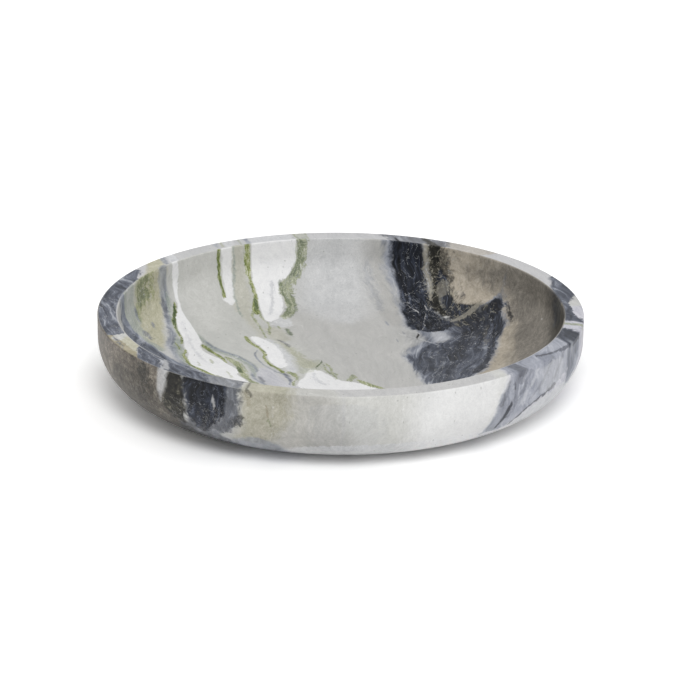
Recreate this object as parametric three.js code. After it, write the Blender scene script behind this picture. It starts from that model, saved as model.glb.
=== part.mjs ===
// A shallow round bowl turned from one block of banded marble, standing on four self-adhesive felt pads.
// Millimetres, +Z up. The origin is the middle of the plane that the pads stand on.

import * as THREE from "three";

// Stone: overall sizes
const RIM_DIAMETER = 305;
const STONE_HEIGHT = 49;
const WALL_THICKNESS = 12.7;
const FLOOR_THICKNESS = 13;

// Stone: the outer wall drops straight from the rim, then sweeps in to a flat base
const OUTER_LIP_HEIGHT = 14.3;
const OUTER_SWEEP_REACH = 39.5;

// Stone: the hollow does the same, down to a flat floor
const INNER_LIP_HEIGHT = 11;
const INNER_SWEEP_REACH = 42;

// Stone: the two edges of the rim are eased by hand
const ARRIS_RADIUS = 0.9;

// Pads: felt discs, each on a disc of adhesive film, set in from the edge of the base
const PAD_COUNT = 4;
const PAD_DIAMETER = 20;
const PAD_INSET = 16;
const FIRST_PAD_BEARING = Math.PI / 4;
const FELT_THICKNESS = 1.6;
const FELT_EDGE_RADIUS = 0.4;
const FILM_DIAMETER = 19;
const FILM_THICKNESS = 0.2;

// Fineness of the turned surfaces
const BOWL_SIDES = 96;
const SWEEP_STEPS = 12;
const ARRIS_STEPS = 4;
const PAD_SIDES = 32;
const FELT_EDGE_STEPS = 3;

// Levels and radii that follow from the sizes above
const filmBottom = FELT_THICKNESS;
const baseLevel = filmBottom + FILM_THICKNESS;
const rimLevel = baseLevel + STONE_HEIGHT;
const floorLevel = baseLevel + FLOOR_THICKNESS;
const rimRadius = RIM_DIAMETER / 2;
const mouthRadius = rimRadius - WALL_THICKNESS;
const baseRadius = rimRadius - OUTER_SWEEP_REACH;
const floorRadius = mouthRadius - INNER_SWEEP_REACH;
const padCircleRadius = baseRadius - PAD_INSET - PAD_DIAMETER / 2;

const marble = new THREE.MeshStandardMaterial({ color: 0xc6c6c2, roughness: 0.38, metalness: 0 });
const felt = new THREE.MeshStandardMaterial({ color: 0x8d8a83, roughness: 0.95, metalness: 0 });
const film = new THREE.MeshStandardMaterial({ color: 0xe4dfd2, roughness: 0.5, metalness: 0 });

/** Points of an elliptical arc from one angle to another, both ends included. */
function arcPoints(centreX, centreY, reachX, reachY, from, to, steps) {
  return Array.from({ length: steps + 1 }, (_, step) => {
    const angle = from + ((to - from) * step) / steps;
    return new THREE.Vector2(centreX + reachX * Math.cos(angle), centreY + reachY * Math.sin(angle));
  });
}

/** A solid of revolution about Z, from a profile of radius and height that starts and ends on the axis. */
function turned(profile, sides) {
  return new THREE.LatheGeometry(profile, sides).rotateX(Math.PI / 2);
}

/** The bowl's section, from the middle of the base, round the rim, to the middle of the floor. */
function bowlProfile() {
  const quarter = Math.PI / 2;
  const outerSweepTop = rimLevel - OUTER_LIP_HEIGHT;
  const innerSweepTop = rimLevel - INNER_LIP_HEIGHT;
  const arrisLevel = rimLevel - ARRIS_RADIUS;
  const outerSweep = arcPoints(
    baseRadius, outerSweepTop, OUTER_SWEEP_REACH, outerSweepTop - baseLevel, -quarter, 0, SWEEP_STEPS,
  );
  const outerArris = arcPoints(
    rimRadius - ARRIS_RADIUS, arrisLevel, ARRIS_RADIUS, ARRIS_RADIUS, 0, quarter, ARRIS_STEPS,
  );
  const innerArris = arcPoints(
    mouthRadius + ARRIS_RADIUS, arrisLevel, ARRIS_RADIUS, ARRIS_RADIUS, quarter, 2 * quarter, ARRIS_STEPS,
  );
  const innerSweep = arcPoints(
    floorRadius, innerSweepTop, INNER_SWEEP_REACH, innerSweepTop - floorLevel, 0, -quarter, SWEEP_STEPS,
  );
  return [
    new THREE.Vector2(0, baseLevel),
    ...outerSweep,
    ...outerArris,
    ...innerArris,
    ...innerSweep,
    new THREE.Vector2(0, floorLevel),
  ];
}

/** A felt disc that stands on Z = 0, with its lower edge rounded. */
function feltProfile() {
  const radius = PAD_DIAMETER / 2;
  const lowerEdge = arcPoints(
    radius - FELT_EDGE_RADIUS, FELT_EDGE_RADIUS, FELT_EDGE_RADIUS, FELT_EDGE_RADIUS, -Math.PI / 2, 0,
    FELT_EDGE_STEPS,
  );
  return [
    new THREE.Vector2(0, 0),
    ...lowerEdge,
    new THREE.Vector2(radius, FELT_THICKNESS),
    new THREE.Vector2(0, FELT_THICKNESS),
  ];
}

/** A disc of adhesive film between the felt and the base. */
function filmProfile() {
  return [
    new THREE.Vector2(0, filmBottom),
    new THREE.Vector2(FILM_DIAMETER / 2, filmBottom),
    new THREE.Vector2(FILM_DIAMETER / 2, baseLevel),
    new THREE.Vector2(0, baseLevel),
  ];
}

/** A named piece of the bowl. */
function piece(name, geometry, material) {
  const mesh = new THREE.Mesh(geometry, material);
  mesh.name = name;
  return mesh;
}

/** One pad, a felt disc and its film, at its place on the pad circle. */
function pad(number) {
  const bearing = FIRST_PAD_BEARING + ((number - 1) * 2 * Math.PI) / PAD_COUNT;
  const group = new THREE.Group();
  group.position.set(padCircleRadius * Math.cos(bearing), padCircleRadius * Math.sin(bearing), 0);
  group.add(piece(`felt_pad_${number}`, turned(feltProfile(), PAD_SIDES), felt));
  group.add(piece(`adhesive_film_${number}`, turned(filmProfile(), PAD_SIDES), film));
  return group;
}

const bowl = new THREE.Group();
bowl.add(piece("stone_bowl", turned(bowlProfile(), BOWL_SIDES), marble));
for (let number = 1; number <= PAD_COUNT; number += 1) {
  bowl.add(pad(number));
}

export default bowl;
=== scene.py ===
"""Dress the banded marble bowl: the stone, its felt pads, their adhesive films and a pale studio."""

from __future__ import annotations

import logging
import math
from dataclasses import dataclass, field
from enum import Enum
from typing import Any, Iterable, Mapping, Sequence, Union

import bmesh
import bpy
from mathutils import Matrix, Vector

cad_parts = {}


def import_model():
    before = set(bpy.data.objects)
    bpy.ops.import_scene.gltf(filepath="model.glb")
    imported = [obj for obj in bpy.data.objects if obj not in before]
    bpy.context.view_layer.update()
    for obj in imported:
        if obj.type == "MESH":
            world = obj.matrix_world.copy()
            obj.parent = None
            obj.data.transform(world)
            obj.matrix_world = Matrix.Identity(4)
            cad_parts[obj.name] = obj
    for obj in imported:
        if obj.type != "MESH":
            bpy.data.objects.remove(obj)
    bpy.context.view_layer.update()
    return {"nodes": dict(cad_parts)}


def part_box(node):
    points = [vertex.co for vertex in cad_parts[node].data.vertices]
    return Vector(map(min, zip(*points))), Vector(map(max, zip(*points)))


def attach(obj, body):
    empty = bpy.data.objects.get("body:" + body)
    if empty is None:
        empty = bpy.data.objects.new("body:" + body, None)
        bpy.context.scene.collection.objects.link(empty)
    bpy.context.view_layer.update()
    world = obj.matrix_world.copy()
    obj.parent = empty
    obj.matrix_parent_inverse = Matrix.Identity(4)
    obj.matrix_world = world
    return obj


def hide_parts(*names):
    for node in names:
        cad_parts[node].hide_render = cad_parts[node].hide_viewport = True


log = logging.getLogger("marble_bowl")

MM = 0.001
BODY = "root"

# The middle of a noise, which runs from 0 to 1
MIDDLE = 0.5

Colour = tuple[float, float, float, float]
Point = tuple[float, float]
Span = tuple[float, float]


def srgb(red: float, green: float, blue: float) -> Colour:
    """Turn a screen colour into the linear one that a shader takes.

    Args:
        red: Red, from 0 to 255.
        green: Green, from 0 to 255.
        blue: Blue, from 0 to 255.

    Returns:
        The linear colour, with full alpha.
    """

    def linear(level: float) -> float:
        """One channel, from 0 to 1, made linear."""
        return level / 12.92 if level <= 0.04045 else ((level + 0.055) / 1.055) ** 2.4

    return (linear(red / 255), linear(green / 255), linear(blue / 255), 1.0)


# Shader maths


@dataclass(frozen=True)
class Grain:
    """The lumps of a noise: their size in mm each way, finer octaves, how much these add, and a swirl."""

    size: tuple[float, float, float]
    detail: float = 3.0
    roughness: float = 0.5
    distortion: float = 0.0


@dataclass(frozen=True)
class Value:
    """A number that changes over a surface: a socket that takes Python's operators."""

    tree: "Nodes"
    socket: bpy.types.NodeSocket

    def __add__(self, other: "Feed") -> "Value":
        """This plus another."""
        return self.tree.math("ADD", self, other)

    def __radd__(self, other: "Feed") -> "Value":
        """Another plus this."""
        return self.tree.math("ADD", other, self)

    def __sub__(self, other: "Feed") -> "Value":
        """This less another."""
        return self.tree.math("SUBTRACT", self, other)

    def __rsub__(self, other: "Feed") -> "Value":
        """Another less this."""
        return self.tree.math("SUBTRACT", other, self)

    def __mul__(self, other: "Feed") -> "Value":
        """This times another."""
        return self.tree.math("MULTIPLY", self, other)

    def __rmul__(self, other: "Feed") -> "Value":
        """Another times this."""
        return self.tree.math("MULTIPLY", other, self)

    def __truediv__(self, other: "Feed") -> "Value":
        """This over another."""
        return self.tree.math("DIVIDE", self, other)

    def __abs__(self) -> "Value":
        """The size of this, without its sign."""
        return self.tree.math("ABSOLUTE", self)


Feed = Union[Value, bpy.types.NodeSocket, float, Sequence[float]]


class Nodes:
    """A node tree, and the one way that nodes are added to it."""

    def __init__(self, tree: bpy.types.NodeTree) -> None:
        """Start from an empty tree.

        Args:
            tree: The node tree of a material or a world.
        """
        self.tree = tree
        self.tree.nodes.clear()

    def add(
        self,
        kind: str,
        settings: Mapping[str, Any] | None = None,
        sockets: Mapping[str, Feed] | None = None,
    ) -> bpy.types.Node:
        """Add a node.

        Args:
            kind: The node's type.
            settings: Its settings, set first. "points" are a curve's, and "stops" are a ramp's.
            sockets: Values or links, by a socket's name or identifier.

        Returns:
            The node.
        """
        node = self.tree.nodes.new(kind)
        for key, setting in (settings or {}).items():
            if key == "points":
                self._lay_curve(node.mapping, setting)
            elif key == "stops":
                self._lay_ramp(node.color_ramp, setting)
            else:
                setattr(node, key, setting)
        for key, feed in (sockets or {}).items():
            self._feed(self._find(node.inputs, key), feed)
        return node

    @staticmethod
    def _find(sockets: Iterable[bpy.types.NodeSocket], key: str) -> bpy.types.NodeSocket:
        """The socket with this identifier, or the first live one with this name."""
        listed = list(sockets)
        for socket in listed:
            if socket.identifier == key:
                return socket
        return next(s for s in listed if s.name == key and s.enabled)

    def _feed(self, socket: bpy.types.NodeSocket, feed: Feed) -> None:
        """Link a socket, or set its own value."""
        if isinstance(feed, Value):
            self.tree.links.new(feed.socket, socket)
        elif isinstance(feed, bpy.types.NodeSocket):
            self.tree.links.new(feed, socket)
        else:
            socket.default_value = feed

    @staticmethod
    def _lay_curve(mapping: bpy.types.CurveMapping, points: Sequence[Point]) -> None:
        """Lay a curve through points that run from left to right, level beyond its ends."""
        mapping.use_clip = False
        mapping.extend = "HORIZONTAL"
        laid = mapping.curves[0].points
        laid[0].location = points[0]
        laid[-1].location = points[-1]
        for x, y in points[1:-1]:
            laid.new(x, y)
        for point in laid:
            point.handle_type = "AUTO_CLAMPED"
        mapping.update()

    @staticmethod
    def _lay_ramp(ramp: bpy.types.ColorRamp, stops: Sequence[tuple[float, Colour]]) -> None:
        """Lay a ramp through stops that run from left to right."""
        marks = ramp.elements
        marks[0].position, marks[0].color = stops[0]
        marks[-1].position, marks[-1].color = stops[-1]
        for place, colour in stops[1:-1]:
            marks.new(place).color = colour

    def math(self, operation: str, *feeds: Feed) -> Value:
        """A Math node's result."""
        node = self.add("ShaderNodeMath", {"operation": operation})
        for socket, feed in zip(node.inputs, feeds):
            self._feed(socket, feed)
        return Value(self, node.outputs[0])

    def largest(self, first: Value, second: Value) -> Value:
        """The larger of two values."""
        return self.math("MAXIMUM", first, second)

    def ramp(self, value: Feed, low: float, high: float, start: float = 0.0, end: float = 1.0) -> Value:
        """Ease from start to end as a value goes from low to high.

        Args:
            value: The value.
            low: Where the ramp starts.
            high: Where it ends.
            start: The result at low and before.
            end: The result at high and beyond.

        Returns:
            The eased value.
        """
        node = self.add(
            "ShaderNodeMapRange",
            {"interpolation_type": "SMOOTHSTEP"},
            {"Value": value, "From Min": low, "From Max": high, "To Min": start, "To Max": end},
        )
        return Value(self, node.outputs[0])

    def curve(self, value: Value, points: Sequence[Point]) -> Value:
        """A value looked up on a curve through points."""
        return Value(self, self.add("ShaderNodeFloatCurve", {"points": points}, {"Value": value}).outputs[0])

    def mix(self, factor: Feed, first: Feed, second: Feed) -> bpy.types.NodeSocket:
        """Two colours mixed."""
        sockets = {"Factor_Float": factor, "A_Color": first, "B_Color": second}
        node = self.add("ShaderNodeMix", {"data_type": "RGBA"}, sockets)
        return self._find(node.outputs, "Result_Color")

    def vector(self, across: Feed, along: Feed, up: Feed) -> bpy.types.NodeSocket:
        """Three values as one vector."""
        return self.add("ShaderNodeCombineXYZ", None, {"X": across, "Y": along, "Z": up}).outputs[0]

    def vector_math(self, operation: str, first: Feed, second: Feed) -> bpy.types.NodeSocket:
        """A Vector Math node's result."""
        node = self.add("ShaderNodeVectorMath", {"operation": operation})
        self._feed(node.inputs[0], first)
        self._feed(node.inputs[1], second)
        return node.outputs[0]

    def noise(self, vector: Feed, grain: Grain) -> Value:
        """Smooth noise, about 0.5 in the middle.

        Args:
            vector: Where to read it, in mm.
            grain: Its lumps.

        Returns:
            The noise.
        """
        sockets = {
            "Vector": self.vector_math("MULTIPLY", vector, [1 / size for size in grain.size]),
            "Scale": 1.0,
            "Detail": grain.detail,
            "Roughness": grain.roughness,
            "Distortion": grain.distortion,
        }
        return Value(self, self.add("ShaderNodeTexNoise", None, sockets).outputs[0])

    def swirled(self, vector: Feed, size: float, detail: float, reach: float) -> bpy.types.NodeSocket:
        """A vector moved about by smooth noise.

        Args:
            vector: The vector, in mm.
            size: The size of the noise's lumps, in mm.
            detail: How many finer octaves it has.
            reach: How far it moves the vector, in mm.

        Returns:
            The moved vector.
        """
        noise = self.add("ShaderNodeTexNoise", None, {"Vector": vector, "Scale": 1 / size, "Detail": detail})
        parts = self.add("ShaderNodeSeparateColor", None, {"Color": noise.outputs["Color"]}).outputs
        moves = self.vector_math("MULTIPLY", self.vector(*parts), (reach, reach, reach))
        return self.vector_math("ADD", vector, moves)

    def bump(self, height: Value, strength: float, depth: float) -> bpy.types.NodeSocket:
        """A normal raised by a height, to a depth in mm."""
        sockets = {"Strength": strength, "Distance": depth * MM, "Height": height}
        return self.add("ShaderNodeBump", None, sockets).outputs[0]

    def principled(self, sockets: Mapping[str, Feed]) -> None:
        """End a material in a Principled shader."""
        surface = self.add("ShaderNodeBsdfPrincipled", None, sockets)
        self.add("ShaderNodeOutputMaterial", None, {"Surface": surface.outputs[0]})


def new_material(name: str) -> tuple[bpy.types.Material, Nodes]:
    """Make an empty node material.

    Args:
        name: Its name.

    Returns:
        The material and its nodes.
    """
    material = bpy.data.materials.new(name)
    material.use_nodes = True
    return material, Nodes(material.node_tree)


def object_place(tree: Nodes) -> bpy.types.NodeSocket:
    """The place on a piece, in mm."""
    here = tree.add("ShaderNodeTexCoord").outputs["Object"]
    return tree.vector_math("MULTIPLY", here, (1 / MM, 1 / MM, 1 / MM))


# Marble


class Pattern(Enum):
    """Noise that runs between a mineral's colours, with its lumps across, along and up the layers."""

    CLOUD = Grain((16.0, 26.0, 18.0), detail=3.0)
    HAZE = Grain((2.6, 4.6, 3.4), detail=4.0, roughness=0.62)
    GRAIN = Grain((0.8, 1.0, 0.9), detail=2.0)
    STREAK = Grain((1.7, 16.0, 11.0), detail=4.0, roughness=0.55, distortion=0.3)
    SMOKE = Grain((3.6, 20.0, 15.0), detail=4.0, roughness=0.55, distortion=0.5)
    FIBRE = Grain((0.75, 7.0, 5.0), detail=3.0, roughness=0.55)
    MOTTLE = Grain((2.6, 4.2, 3.4), detail=4.0, roughness=0.6, distortion=0.6)


@dataclass(frozen=True)
class Net:
    """A net of cracks along ridges of noise.

    It has the ridges' size in mm each way, their width, the pattern in whose patches it shows, the span of
    that pattern over which it comes in, and the ridges' finer octaves and how much these add.
    """

    gap: tuple[float, float, float]
    width: float
    patch: Pattern
    shown: Span
    detail: float = 3.0
    roughness: float = 0.6


@dataclass(frozen=True)
class Tint:
    """How a mineral looks: a pattern, and stops of (place, red, green, blue) that it runs through.

    Contrast spreads the pattern, and grain is the share of it that is fine grain.
    """

    pattern: Pattern
    stops: tuple[tuple[float, int, int, int], ...]
    contrast: float = 2.6
    grain: float = 0.32
    net: Net | None = None


class Mineral(Enum):
    """What the stone is made of, in the order in which it is laid. A few streaks in it are painted light or
    shade instead, as marked where they stand.
    """

    GROUND = Tint(Pattern.SMOKE, ((0.1, 184, 184, 182), (0.5, 195, 195, 193), (0.9, 206, 205, 203)))
    GREENISH = Tint(Pattern.HAZE, ((0.1, 180, 182, 176), (0.5, 192, 193, 187), (0.9, 205, 206, 200)))
    WARM = Tint(Pattern.HAZE, ((0.1, 190, 190, 186), (0.5, 203, 203, 199), (0.9, 215, 215, 212)))
    LILAC = Tint(Pattern.STREAK, ((0.1, 168, 169, 180), (0.5, 195, 195, 203), (0.9, 217, 216, 221)))
    BEIGE = Tint(Pattern.HAZE, ((0.1, 152, 143, 129), (0.5, 176, 167, 152), (0.9, 200, 192, 179)))
    OLIVE = Tint(Pattern.HAZE, ((0.1, 160, 158, 134), (0.5, 184, 181, 158), (0.9, 205, 202, 184)))
    OCHRE = Tint(Pattern.MOTTLE, ((0.1, 112, 101, 76), (0.5, 142, 130, 100), (0.9, 172, 160, 132)))
    BROWN = Tint(
        Pattern.MOTTLE,
        ((0.05, 68, 65, 60), (0.4, 99, 93, 85), (0.65, 118, 111, 101), (0.95, 150, 143, 132)),
        contrast=3.8,
    )
    # Taupe stone; also the tint of painted shade on the rim's top, on the right inner wall and on the left
    # of the front wall.
    TAUPE = Tint(Pattern.HAZE, ((0.1, 98, 94, 87), (0.5, 126, 121, 113), (0.9, 156, 150, 140)))
    SAGE = Tint(Pattern.STREAK, ((0.1, 132, 141, 137), (0.5, 162, 168, 161), (0.9, 190, 194, 186)))
    # Frosty stone; also the tint of the painted bounce light low on the right of the outer wall.
    FROST = Tint(Pattern.HAZE, ((0.1, 186, 188, 191), (0.5, 207, 208, 210), (0.9, 226, 227, 228)))
    WHITE = Tint(
        Pattern.HAZE,
        ((0.0, 212, 213, 215), (0.35, 230, 230, 231), (0.7, 240, 240, 240)),
        contrast=2.0,
    )
    SLATE = Tint(
        Pattern.SMOKE,
        ((0.05, 86, 92, 105), (0.35, 120, 126, 139), (0.6, 149, 154, 166), (0.95, 190, 193, 200)),
        grain=0.12,
    )
    NIGHT = Tint(
        Pattern.SMOKE,
        ((0.1, 44, 48, 58), (0.45, 76, 81, 93), (0.7, 108, 113, 125), (0.98, 172, 176, 183)),
        contrast=3.2, grain=0.1,
    )
    # Umber stone; also the tint of the painted shade on the right inner wall.
    UMBER = Tint(
        Pattern.MOTTLE,
        ((0.15, 20, 20, 18), (0.5, 39, 38, 34), (0.75, 64, 62, 54), (0.98, 112, 109, 96)),
        contrast=3.2, grain=0.12,
    )
    CHARCOAL = Tint(
        Pattern.STREAK,
        ((0.1, 11, 13, 18), (0.45, 26, 30, 39), (0.75, 48, 53, 65), (0.98, 88, 94, 108)),
        contrast=3.2, grain=0.06,
    )
    MOSS = Tint(
        Pattern.FIBRE,
        ((0.05, 70, 84, 46), (0.35, 112, 124, 70), (0.6, 156, 162, 110), (0.85, 202, 204, 182)),
        contrast=3.2,
    )
    DEEP_MOSS = Tint(
        Pattern.FIBRE,
        ((0.1, 46, 60, 40), (0.5, 80, 96, 64), (0.9, 136, 146, 110)),
        contrast=3.0,
    )
    BLACK = Tint(
        Pattern.STREAK,
        ((0.1, 8, 9, 12), (0.5, 19, 21, 27), (0.9, 46, 50, 60)),
        contrast=3.0, grain=0.06,
    )
    CREAM = Tint(Pattern.HAZE, ((0.1, 136, 132, 120), (0.5, 166, 161, 148), (0.9, 194, 190, 178)))
    CREAM_NET = Tint(
        Pattern.HAZE,
        ((0.1, 122, 119, 106), (0.9, 186, 181, 166)),
        net=Net((5.0, 7.0, 6.0), 0.03, Pattern.MOTTLE, (0.36, 0.56)),
    )
    FLECK = Tint(
        Pattern.GRAIN,
        ((0.1, 92, 98, 112), (0.9, 156, 161, 172)),
        net=Net((2.6, 5.0, 4.0), 0.02, Pattern.HAZE, (0.42, 0.6)),
    )
    CRACK = Tint(
        Pattern.GRAIN,
        ((0.1, 150, 153, 156), (0.9, 210, 211, 212)),
        net=Net((5.0, 10.0, 8.0), 0.013, Pattern.MOTTLE, (0.4, 0.6)),
    )
    HAIR = Tint(
        Pattern.GRAIN,
        ((0.1, 130, 129, 126), (0.9, 180, 178, 174)),
        net=Net((2.4, 3.4, 3.0), 0.025, Pattern.SMOKE, (0.36, 0.58)),
    )
    HAIRLINE = Tint(
        Pattern.GRAIN,
        ((0.1, 214, 214, 211), (0.9, 230, 230, 228)),
        net=Net((26.0, 40.0, 30.0), 0.004, Pattern.CLOUD, (0.46, 0.6)),
    )
    # Pale eyes and white cracks, and painted light: the tiny glints and the bounce-lit strip low on the
    # outer wall use this tint too.
    EYE_AND_PAINTED_LIGHT = Tint(Pattern.GRAIN, ((0.1, 230, 230, 230), (0.9, 242, 242, 242)))


class Face(Enum):
    """Which faces of the bowl a streak shows on."""

    ALL = "all"
    INSIDE = "inside"
    RIM = "rim"
    OUTSIDE = "outside"
    NOT_INSIDE = "rim and outside"


class Frame(Enum):
    """How a streak is laid out: the span of its own axis, in mm."""

    LAYERS = (-160.0, 160.0)
    SKIN = (-6.0, 74.0)

    def reach(self, along: Feed) -> Any:
        """A place along the axis as a share of its span."""
        first, last = self.value
        return (along - first) / (last - first)


@dataclass(frozen=True)
class Streak:
    """A sheet of one mineral that stands upright in the stone, or painted light or shade laid out the same
    way.

    The outline has points of (along, left edge, right edge) in mm, in the stone's own directions: along its
    layers, from front to back, and across them, from left to right. The sides fade over an edge's width each
    way, and the ends close over a tip's length. Ragged, fray and drawn are shares of how far streaks wander,
    are frayed and are drawn out.
    """

    name: str
    outline: tuple[tuple[float, float, float], ...]
    edge: float = 0.7
    ragged: float = 0.4
    fray: float = 0.3
    drawn: float = 0.0
    strength: float = 1.0
    tip: float = 3.0
    face: Face = Face.ALL
    frame: Frame = Frame.LAYERS


@dataclass(frozen=True)
class SkinStreak(Streak):
    """A streak on the outer wall and the rim.

    The outline has points of (height, left edge, right edge) in mm. The height goes on over the rim from its
    outer to its inner edge, and the edges are measured round the bowl from the front.
    """

    face: Face = Face.NOT_INSIDE
    frame: Frame = Frame.SKIN


# How far the floor's bands drift sideways, by the place along them, at its left and at its right
LEFT_DRIFT: tuple[Point, ...] = (
    (-110, 34), (-75, 26), (-40, 17), (-12, 8), (14, 1), (35, -4), (60, -3), (100, 0), (140, 2),
)
RIGHT_DRIFT: tuple[Point, ...] = (
    (-140, -86), (-90, -80), (-60, -70), (-40, -53), (-20, -38), (0, -28), (20, -17), (40, -9), (70, -4),
    (100, 1), (130, 0),
)
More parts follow.
